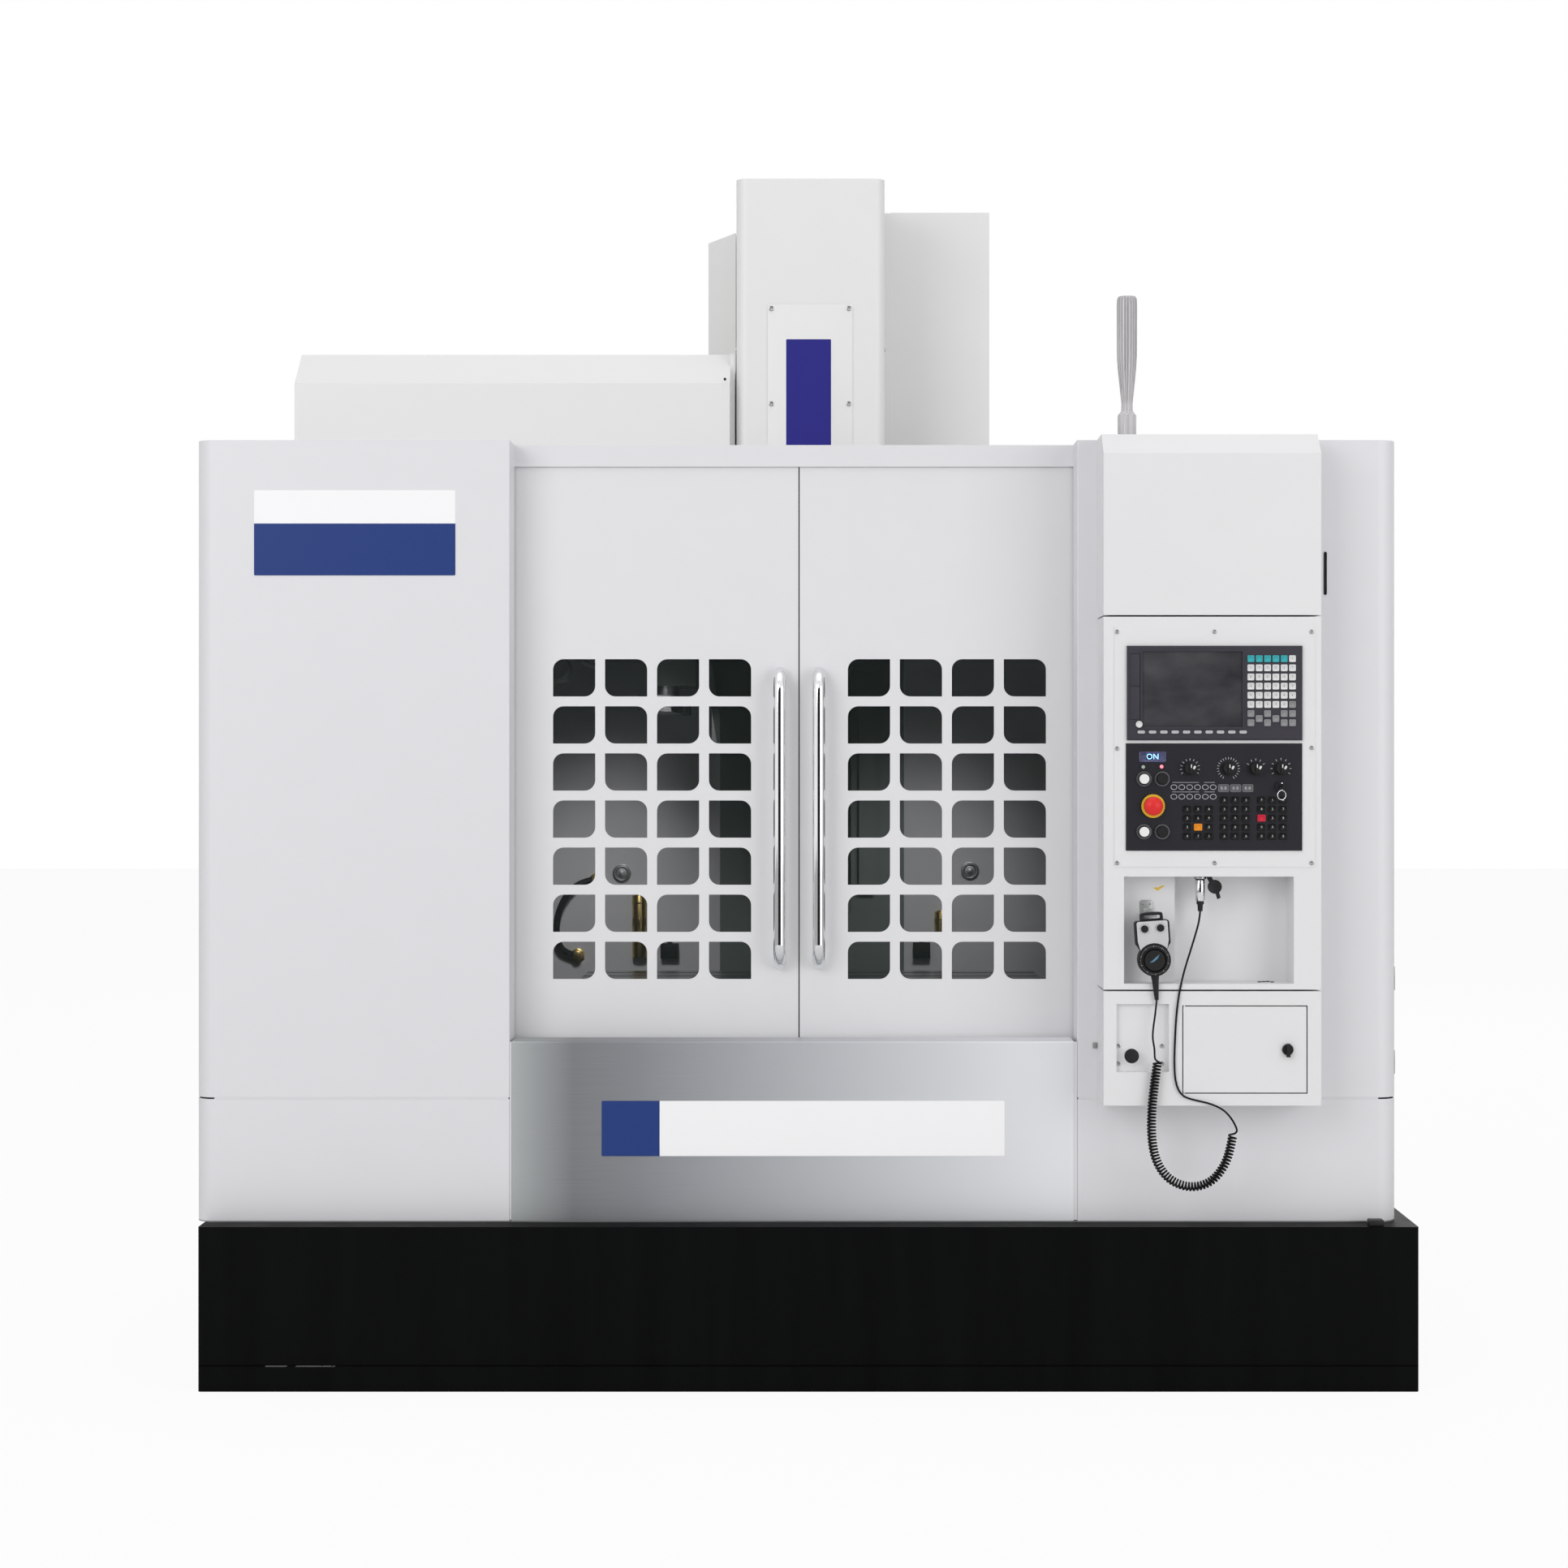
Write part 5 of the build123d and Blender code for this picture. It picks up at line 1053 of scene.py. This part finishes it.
keyRing = torus(*panel["keyRing"])
keyRing.name = "key_ring"
bpy.ops.object.shade_smooth()
fit(keyRing, "chrome", "program_key")
print("operator panel dressed")


# ---- hand pendant: silver face, selector knobs, scale round the dial
pendant = {
    "top": (0.7875, 1.087),
    "lean": 4.0,
    "front": -1.291,
    "faceRise": 0.0012,
    "face": [(-0.032, -0.0015), (0.032, -0.0015), (0.035, -0.0045), (0.035, -0.046)],
    "faceEnd": [(-0.035, -0.046), (-0.035, -0.0045)],
    "bowl": -0.090,
    "bowlRadius": 0.0385,
    "knobs": ((-0.018, -0.018), (0.018, -0.018)),
    "knob": ((0.0083, 0.0072, "y", 24), (0.0014, -0.0006), (0.0008, 2)),
    "knobMiddle": 0.0035,
    "grip": ((-0.0016, -0.0087, -0.0068), (0.0016, -0.0068, 0.0068), (0.0005, 2)),
    "knobScale": 0.0112,
    "knobMark": (0.0006, 0.0026, 0.0002),
    "dialRing": ((0.0345, 0.0012, "y", 64), (0.0022, 0), (0.0003, 1)),
    "dialRise": 0.0012,
    "dialScale": 0.0316,
    "longMark": (0.0007, 0.0036, 0.0003),
    "shortMark": (0.0004, 0.0020, 0.0003),
    "wheel": (0.0266, 0.0062, "y", 72),
    "wheelMiddle": 0.0041,
    "wheelRim": (0.0035, -0.0012),
    "wheelHub": (0.0060, 0.0008),
    "knurl": (0.026, 36, 0.972),
    "arrow": [
        (-0.0125, -0.0045), (-0.0040, 0.0015), (0.0035, 0.0075),
        (0.0110, 0.0125), (0.0060, 0.0035), (-0.0030, -0.0030),
    ],
    "handle": [
        (-0.0228, -0.003), (-0.0228, 0.011), (-0.0215, 0.0152),
        (0.0215, 0.0152), (0.0228, 0.011), (0.0228, -0.003),
    ],
    "handleDepth": -1.2852,
    "handleRadius": 0.0036,
}
x, z = pendant["top"]
leanTurn = Matrix.Rotation(-math.radians(pendant["lean"]), 4, "Y")
pendantPlace = Matrix.Translation((x, 0, z)) @ leanTurn
toBowl = Matrix.Translation((0, 0, pendant["bowl"]))


def onPendant(piece, name, finish, body="machine"):
    piece.data.transform(pendantPlace)
    piece.name = name
    return fit(piece, finish, body)


def outlinePlate(name, points, back, rise, rounding=0.0004):
    # a flat plate of any outline, facing the operator
    clear()
    bpy.ops.mesh.primitive_circle_add(
        vertices=len(points), radius=0.01, fill_type="NGON", rotation=turns["y"]
    )
    made = settle(bpy.context.active_object)
    made.name = name
    for vertex, (x, z) in zip(made.data.vertices, points):
        vertex.co = (x, back, z)
    pick(made, lambda f: True)
    bpy.ops.mesh.extrude_region_move(TRANSFORM_OT_translate={"value": (0, -rise, 0)})
    bpy.ops.mesh.select_all(action="SELECT")
    bpy.ops.mesh.normals_make_consistent(inside=False)
    bpy.ops.object.mode_set(mode="OBJECT")
    if rounding:
        soften(made, rounding, 2)
    return made


y, bowl, radius = pendant["front"], pendant["bowl"], pendant["bowlRadius"]
curve = []
for step in range(9):  # the face ends in an arc over the bowl
    angle = math.radians(52 - 13 * step)
    curve.append((radius * math.sin(angle), bowl + radius * math.cos(angle)))
outline = pendant["face"] + curve + pendant["faceEnd"]
onPendant(outlinePlate("face", outline, y, pendant["faceRise"]), "pendant_face", "silver")
gripLow, gripHigh, gripEdge = pendant["grip"]
for i, (x, z) in enumerate(pendant["knobs"]):
    place = Vector((x, y, z))
    selector = button("selector", (x, y - pendant["knobMiddle"], z), *pendant["knob"])
    grip = cube("grip", place + Vector(gripLow), place + Vector(gripHigh), gripEdge)
    onPendant(merge("selector", [selector, grip]), f"pendant_selector_{i + 1}", "black")
marks = []
stroke = bar(*pendant["knobMark"])
angles = [math.radians(-75 + 30 * i) for i in range(6)]
for x, z in pendant["knobs"]:
    marks += around(stroke, (x, y - pendant["faceRise"], z), pendant["knobScale"], angles)
drop(stroke)
onPendant(merge("knobMarks", marks), "pendant_marks", "legendDark")

# the dial's fixed scale and, on the wheel, a knurled rim
dialRing = button("dialRing", (0, y - pendant["dialRise"] / 2, bowl), *pendant["dialRing"])
onPendant(dialRing, "pendant_scale_ring", "black")
marks = []
long, short = bar(*pendant["longMark"]), bar(*pendant["shortMark"])
for i in range(50):
    stroke = short if i % 5 else long
    angles = [2 * math.pi * i / 50]
    marks += around(stroke, (0, y - pendant["dialRise"], bowl), pendant["dialScale"], angles)
drop(long, short)
onPendant(merge("dialMarks", marks), "pendant_scale_marks", "keyWhite")
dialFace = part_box("pendant_dial")[0].y
wheel = disc("wheel", (0, dialFace + pendant["wheelMiddle"], 0), *pendant["wheel"])
press(wheel, front, *pendant["wheelRim"])
press(wheel, lambda f: f.normal.y < -0.99 and f.area > 0.0002, *pendant["wheelHub"])
scallop(wheel, *pendant["knurl"])
soften(wheel, 0.0003, 1, 40)
wheel.data.transform(toBowl)
onPendant(wheel, "dial_wheel", "black", body="pendant_dial")
arrow = outlinePlate("dialArrow", pendant["arrow"], dialFace + 0.0012, 0.0003, 0)
arrow.data.transform(toBowl)
onPendant(arrow, "dial_arrow", "sky", "pendant_dial")

# ---- the recess over the pendant: zinc hook, black cap on its strap, socket and plug sleeve, blanking plug
recess = {
    "hook": ((0.7705, 0.7995, 1.0765, 1.1290), -1.2018, 0.0031, 0.005, 0.0004),
    "eyes": ((0.7768, -1.2052, 1.1205), (0.7932, -1.2052, 1.1205)),
    "eye": (0.0026, 0.0010, "y", 16, (0.0004, 2)),
    "shelf": ((0.7704, -1.2815, 1.0950), (0.7996, -1.2018, 1.0980), (0.0006, 2)),
    "lip": ((0.7704, -1.2816, 1.0950), (0.7996, -1.2785, 1.1142), (0.0006, 2)),
    "cap": ((0.936, -1.2434, 1.161), (0.0158, 0.0094, "y", 28), (0.0022, -0.0008), (0.0008, 2)),
    "strap": [(0.9165, 1.1845), (0.9285, 1.1845), (0.9355, 1.1700), (0.9270, 1.1640)],
    "tag": [(0.9362, 1.1520), (0.9440, 1.1545), (0.9492, 1.1360), (0.9418, 1.1325)],
    "strapBack": (-1.2386, 0.0092, 0.0006),
    "socket": ((0.904, -1.235, 1.1818), 0.0142, 0.0064, "z", 24, (0.0008, 2)),
    "sleeve": ((0.904, -1.235, 1.1520), 0.0112, 0.0480, "z", 36),
    "sleeveMouth": (0.0012, 0),
    "sleeveEdge": (0.0010, 2),
    "ribs": (1.1330, 1.1480, 1.1700),
    "rib": (0.0112, 0.0008, 36, 6),
    "blank": ((0.744, -1.2722, 0.779), (0.0164, 0.0074, "y", 36), (0.0030, 0.0012), (0.0014, 3)),
    "smear": [
        (0.8010, 1.1560), (0.8060, 1.1530), (0.8110, 1.1495), (0.8165, 1.1540), (0.8230, 1.1580),
        (0.8280, 1.1610), (0.8200, 1.1618), (0.8120, 1.1572), (0.8060, 1.1580),
    ],
    "smearBack": (-1.2019, 0.0004, 0),
    "swarf": ((1.052, -1.215, 0.9429), 0.004, 0.0009, 14, 6),
    "chips": ((1.041, -1.222, 0.4), (1.062, -1.210, 1.3), (1.070, -1.224, 2.2)),
    "chip": ((-0.0045, -0.0007, 0), (0.0045, 0.0007, 0.0014), (0.0003, 1)),
    "chipAt": (0, 0.006, 0.9419),
}
holder = frontPlaque("hookPlate", *recess["hook"])
for place in recess["eyes"]:
    holder = merge("hook", [holder, disc("eye", place, *recess["eye"])])
shelf, lip = cube("shelf", *recess["shelf"]), cube("lip", *recess["lip"])
fit(merge("hook_bracket", [holder, shelf, lip]), "zinc")

cap = button("socketCap", *recess["cap"])
strap, tag = (outlinePlate(name, recess[name], *recess["strapBack"]) for name in ("strap", "tag"))
fit(merge("socket_cap", [cap, strap, tag]), "black")
fit(disc("socket_ring", *recess["socket"]), "screw")
sleeve = disc("plugSleeve", *recess["sleeve"])
press(sleeve, facing((0, 0, -1)), *recess["sleeveMouth"])
soften(sleeve, *recess["sleeveEdge"])
x, y, _ = recess["sleeve"][0]
ribs = [torus((x, y, z), *recess["rib"]) for z in recess["ribs"]]
fit(merge("plug_sleeve", [sleeve, *ribs]), "chrome")
fit(button("blanking_plug", *recess["blank"]), "black")

# wear in the recess: a yellow smear of thread lock, rings and chips of swarf
fit(outlinePlate("yellow_smear", recess["smear"], *recess["smearBack"]), "smear")
swarf = torus(*recess["swarf"])
chips = [swarf]
x0, y0, _ = recess["swarf"][0]
for x, y, turn in recess["chips"]:
    chips.append(copyTo(swarf, (x - x0, y - y0, 0)))
    chip = cube("chip", *recess["chip"])
    place = Vector((x, y, 0)) + Vector(recess["chipAt"])
    chip.data.transform(Matrix.Translation(place) @ Matrix.Rotation(turn, 4, "Z"))
    chips.append(chip)
fit(merge("swarf_curls", chips), "black")

# the pendant's thick carrying handle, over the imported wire
places = [(x, pendant["handleDepth"], z) for x, z in pendant["handle"]]
onPendant(tube("handle", places, pendant["handleRadius"]), "pendant_handle", "black")
print("pendant and recess dressed")

# ---- small hardware: service slot, filler in the seams, flanges and plate of the head cover, catch, screws,
# plug, clip, hinges, and black strips in the door gaps as painted shade
hardware = {
    "slot": ((1.2055, 1.2125, 1.832, 1.932), -1.1199, 0.0024, 0.0030, 0.0005, (0.0013, -0.0010)),
    "fillerDepth": (-1.1197, -1.1170),
    "fillerEdge": (0.0002, 1),
    "filler": {
        "left_seam_strip": (-1.3665, -0.6847, 0.6632, 0.6668),
        "right_seam_strip": (0.6367, 1.3320, 0.6632, 0.6668),
        "apron_left_strip": (-0.6817, -0.6783, 0.3830, 0.7960),
        "apron_right_strip": (0.6263, 0.6337, 0.3830, 0.7960),
    },
    "flanges": {
        "magazine_cover_flange": ((-0.1915, -0.5015, 2.1912), (-0.1797, -0.5000, 2.4800), (0.0004, 1)),
        "column_cover_flange": ((0.2038, -0.1205, 2.1912), (0.2262, -0.1190, 2.9100), (0.0004, 1)),
    },
    "hatch": ((-0.0965, 0.1185, 2.1520, 2.6000), -0.5318, 0.0010, 0.0030, 0.0002),
    "catch": ((0.6695, 0.6800, 0.7815, 0.7945), -1.1199, 0.0050, 0.0015, 0.0005),
    "pin": ((0.6748, -1.1265, 0.7880), 0.0030, 0.0050, "y", 16, (0.0006, 2)),
    "screws": [(x, -0.500, z) for x in (-0.1765, 0.2005) for z in (2.490, 2.205)],
    "screw": (0.0050, 0.0030, "x", 20, (0.0008, 2)),
    "plug": ((-0.203, -0.5632, 2.407), (0.0036, 0.0012, "y", 20), (0.0008, -0.0004)),
    "clip": ((1.3000, -1.1820, 0.3778), (1.3340, -1.1500, 0.3920), (0.0025, 3)),
    "hinges": ((1.3790, -1.0480, 0.742), (1.3790, -1.0480, 0.938)),
    "hinge": (0.0060, 0.0560, "z", 24, (0.0010, 2)),
    # black strips in the door gaps: painted shade
    "doorGapShade": ((-0.0134, -1.0104, 0.7720), (-0.01052, -0.9810, 2.1610), (0.0002, 1)),
    "storageDoorShade": (
        ((1.1407, -1.2682, 0.6932), (1.1428, -1.2650, 0.8928), (0.0002, 1)),
        ((0.8660, -1.2682, 0.6932), (1.1407, -1.2650, 0.6952), (0.0002, 1)),
    ),
}
fit(frontPlaque("service_slot", *hardware["slot"]), "black")
near, far = hardware["fillerDepth"]
for name, (left, right, low, high) in hardware["filler"].items():
    strip = cube(name, (left, near, low), (right, far, high), hardware["fillerEdge"])
    fit(strip, "panel")
for name, sizes in hardware["flanges"].items():
    fit(cube(name, *sizes), "hood")
fit(frontPlaque("head_cover_plate", *hardware["hatch"]), "hood", "spindle_head")
catch = [frontPlaque("catchPlate", *hardware["catch"]), disc("catchPin", *hardware["pin"])]
fit(merge("side_catch", catch), "zinc")
heads = [disc("sideScrew", place, *hardware["screw"]) for place in hardware["screws"]]
fit(merge("head_cover_side_screws", heads), "screw", "spindle_head")
fit(button("cover_plug", *hardware["plug"]), "black")
fit(cube("tank_clip", *hardware["clip"]), "black")
knuckles = [disc("knuckle", place, *hardware["hinge"]) for place in hardware["hinges"]]
fit(merge("side_hinges", knuckles), "screw")
# black strip in the gap between the sliding doors: painted shade for the dark gap line
fit(cube("door_gap_shade_strip", *hardware["doorGapShade"]), "black", "left_door")
# black strips on the storage door's right and bottom edges: painted shade for the shadow in those gaps
strips = [cube("strip", *sizes) for sizes in hardware["storageDoorShade"]]
fit(merge("storage_door_shade_strips", strips), "black")
print("small hardware placed")

# ---- signal tower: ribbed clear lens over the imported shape
tower = {
    "place": (0.742, -1.190, 2.193),
    "ribs": 20,
    "ribsFrom": 0.10,
    "ribsBeyond": 0.015,
    "ribDepth": 0.16,
    "profile": (
        (0.0213, 0.000), (0.0215, 0.046), (0.0135, 0.057), (0.0130, 0.074), (0.0170, 0.112),
        (0.0210, 0.150), (0.0232, 0.182), (0.0236, 0.300), (0.0232, 0.312), (0.0200, 0.3185),
    ),
    "core": (2.345, 0.0055, 0.290, "z", 20, (0.001, 2)),
    "foot": (2.2045, 0.0205, 0.022, "z", 32, (0.002, 2)),
}
x, y, base = tower["place"]
clear()
bpy.ops.mesh.primitive_circle_add(
    vertices=tower["ribs"] * 4, radius=tower["profile"][0][0], location=tower["place"]
)
shell = settle(bpy.context.active_object)
shell.name = "tower_lens"
bpy.ops.object.mode_set(mode="EDIT")
bpy.ops.mesh.select_all(action="SELECT")
for (before, z0), (after, z1) in zip(tower["profile"], tower["profile"][1:]):
    ratio = after / before
    bpy.ops.mesh.extrude_edges_move(TRANSFORM_OT_translate={"value": (0, 0, z1 - z0)})
    bpy.ops.transform.resize(value=(ratio, ratio, 1), center_override=(x, y, base + z1))
bpy.ops.mesh.edge_face_add()
bpy.ops.mesh.select_all(action="SELECT")
bpy.ops.mesh.normals_make_consistent(inside=False)
bpy.ops.object.mode_set(mode="OBJECT")
for vertex in shell.data.vertices:
    reach = Vector((vertex.co.x, vertex.co.y, 0)) - Vector((x, y, 0))
    if vertex.co.z > base + tower["ribsFrom"] and reach.length > tower["ribsBeyond"]:
        rib = round(math.atan2(reach.y, reach.x) / math.pi * tower["ribs"] * 2)
        if rib % 4 == 0:
            vertex.co.x -= reach.x * tower["ribDepth"]
            vertex.co.y -= reach.y * tower["ribDepth"]
bpy.ops.object.shade_smooth_by_angle(angle=math.radians(25))
fit(shell, "lens")
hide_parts("tower_light")
middle = [disc("middle", (x, y, z), *sizes) for z, *sizes in (tower["core"], tower["foot"])]
fit(merge("tower_core", middle), "white")
print("signal tower dressed")


# ---- what shows through the windows: wash hose, brass fittings and ports on the chamber's rear wall
chamber = {
    "wall": 0.3152,
    "hose": [
        (-0.596, 0.292, 1.112), (-0.640, 0.284, 1.108), (-0.688, 0.280, 1.060), (-0.710, 0.280, 0.990),
        (-0.704, 0.282, 0.930), (-0.680, 0.286, 0.904), (-0.650, 0.292, 0.898),
    ],
    "hoseRadius": 0.0095,
    "flange": (0.021, 0.008, "y", 6, (0.0012, 2)),
    "barrel": 0.0135,
    "barrelEdge": (0.0012, 2),
    "sunkIn": 0.010,
    "ports": ((-0.526, 1.129), (0.457, 1.136)),
    "cup": (0.026, 0.006, "y", 36, (0.0008, 2)),
    "bead": (0.0195, 0.0042, 36, 10, turns["y"]),
    "portPlug": (0.0085, 0.008, "y", 6, (0.0008, 2)),
    "brass": ((-0.475, 0.893, 1.068, 0.994), (0.377, 0.952, 1.022, 0.996)),
    "brassRadius": 0.0205,
    "brassMiddle": 0.0215,
    "brassEdge": (0.0010, 2),
    "shoulder": (0.004, 0),
    "spigot": (0.003, 0.004),
    "collarDrop": 0.020,
    "nut": (0.0225, 0.022, "z", 6),
    "collar": (0.0218, 0.008, "z", 36),
    "boxes": ((-0.415, -0.365, 0.890, 0.932), (0.296, 0.344, 0.890, 0.935)),
    "boxDepth": 0.032,
    "boxRim": (0.005, 0),
    "boxLid": (0.001, 0.003),
    "boxEdge": (0.0020, 3),
    "gland": (0.008, 0.012, "z", 6, (0.0008, 2)),
    "glandRise": 0.004,
    "lamps": [
        ("workLampLeft", (-0.45, -0.93, 1.71), (-0.56, 0.30, 0.93), 46, 40),
        ("workLampRight", (0.35, -0.93, 1.71), (0.29, 0.30, 1.02), 40, 30),
    ],
}
wall = chamber["wall"]
hose = tube("wash_hose", chamber["hose"], chamber["hoseRadius"])
ends = []
for x, y, z in (chamber["hose"][0], chamber["hose"][-1]):
    ends.append(disc("flange", (x, wall - 0.004, z), *chamber["flange"]))
    place, length = (x, (wall + y) / 2 - 0.006, z), wall - y + chamber["sunkIn"]
    ends.append(disc("barrel", place, chamber["barrel"], length, "y", 24, chamber["barrelEdge"]))
fit(hose, "black")
fit(merge("hose_fittings", ends), "brass")
for i, (x, z) in enumerate(chamber["ports"]):
    cup = disc("port", (x, wall - 0.003, z), *chamber["cup"])
    bead = torus((x, wall - 0.007, z), *chamber["bead"])
    bpy.ops.object.shade_smooth()
    plug = disc("portPlug", (x, wall - 0.008, z), *chamber["portPlug"])
    fit(merge(f"wall_port_{i + 1}", [cup, bead, plug]), "zinc")
for i, (x, low, high, band) in enumerate(chamber["brass"]):
    y = wall - chamber["brassMiddle"]
    body = disc("brassBody", (x, y, (low + high) / 2), chamber["brassRadius"], high - low, "z", 36)
    press(body, facing((0, 0, 1)), *chamber["shoulder"])
    press(body, lambda f: f.normal.z > 0.99 and f.area > 0.0004, *chamber["spigot"])
    nut = disc("brassNut", (x, y, band), *chamber["nut"])
    collar = disc("brassCollar", (x, y, high - chamber["collarDrop"]), *chamber["collar"])
    parts = [soften(part, *chamber["brassEdge"]) for part in (body, nut, collar)]
    fit(merge(f"brass_valve_{i + 1}", parts), "brass")
for i, (left, right, bottom, top) in enumerate(chamber["boxes"]):
    housing = cube("housing", (left, wall - chamber["boxDepth"], bottom), (right, wall, top))
    press(housing, front, *chamber["boxRim"])
    press(housing, lambda f: f.normal.y < -0.99 and f.area > 0.0008, *chamber["boxLid"])
    soften(housing, *chamber["boxEdge"])
    place = ((left + right) / 2, wall - chamber["boxDepth"] / 2, top + chamber["glandRise"])
    gland = disc("gland", place, *chamber["gland"])
    fit(merge(f"junction_box_{i + 1}", [housing, gland]), "black")
print("chamber dressed")


# ---- floor, light and background
studio = {
    "floor": 60.0,
    "world": 0.50,
    "card": (7.4, 6.0),
    "cardPlace": (-0.15, -9.6, 1.6),
    "lamps": [
        ("keyLamp", (-4.5, -8.5, 4.2), (0.0, 0.0, 1.2), 5.0, 226),
        ("fillLamp", (6.0, -8.0, 2.7), (0.2, 0.0, 1.2), 5.0, 178),
        ("topLamp", (0.0, -2.0, 8.0), (0.0, 0.0, 1.0), 6.0, 120),
        ("rearLamp", (2.0, 9.0, 6.0), (0.0, 0.0, 1.3), 5.0, 170),
    ],
}

clear()
bpy.ops.mesh.primitive_plane_add(size=studio["floor"])
floor = bpy.context.active_object
floor.name = "studio_floor"
ground = Finish("studioFloor", (0.8, 0.8, 0.8), 0.9)
groundPath = ground.tools.node("LightPath")
seen = groundPath.socket.node.outputs["Is Camera Ray"]
glow = ground.tools.node("Emission", {}, {"Color": (1, 1, 1, 1), "Strength": 1.0})
plain = Signal(ground.tools.tree, ground.shader.outputs[0])
floorMix = ground.tools.node("MixShader", {}, {0: Signal(ground.tools.tree, seen) * 0.93, 1: plain, 2: glow})
ground.tools.feed(ground.tools.tree.nodes["Material Output"].inputs["Surface"], floorMix)
floor.data.materials.append(ground.material)

world = bpy.data.worlds.new("studio")
bpy.context.scene.world = world
world.use_nodes = True
sky = Signal(world.node_tree)
path = sky.node("LightPath").socket.node.outputs
direct = Signal(world.node_tree, path["Is Camera Ray"])
mirrored = Signal(world.node_tree, path["Is Glossy Ray"])
through = Signal(world.node_tree, path["Is Transmission Ray"])
shown = (direct + mirrored + through).clamp()
background = world.node_tree.nodes["Background"]
sky.feed(background.inputs["Color"], (1, 1, 1, 1))
sky.feed(background.inputs["Strength"], shown * (1 - studio["world"]) + studio["world"])


def shine(kind, name, place, aim, **settings):
    lamp = bpy.data.lights.new(name, kind)
    for setting, value in settings.items():
        setattr(lamp, setting, value)
    holder = bpy.data.objects.new(name, lamp)
    holder.location = place
    holder.rotation_euler = (Vector(aim) - Vector(place)).to_track_quat("-Z", "Y").to_euler()
    bpy.context.scene.collection.objects.link(holder)


for name, place, aim, size, power in studio["lamps"]:
    shine("AREA", name, place, aim, energy=power, size=size)
# the chamber's lower part is lit by two work lamps
for name, place, aim, cone, power in chamber["lamps"]:
    angle = math.radians(cone)
    shine("SPOT", name, place, aim, energy=power, spot_size=angle, spot_blend=1.0, shadow_soft_size=0.12)

# a dark card behind the camera gives the chrome its dark line, and lights nothing else
clear()
bpy.ops.mesh.primitive_plane_add(size=1, location=studio["cardPlace"], rotation=turns["y"])
card = bpy.context.active_object
card.scale = (*studio["card"], 1)
settle(card)
card.name = "studio_card"
card.visible_camera = False
card.visible_diffuse = False
card.visible_shadow = False
card.visible_transmission = False
card.data.materials.append(Finish("studioCard", (0.004, 0.004, 0.004), 0.95).material)
bpy.context.scene.view_settings.view_transform = "Standard"
print("studio lit")
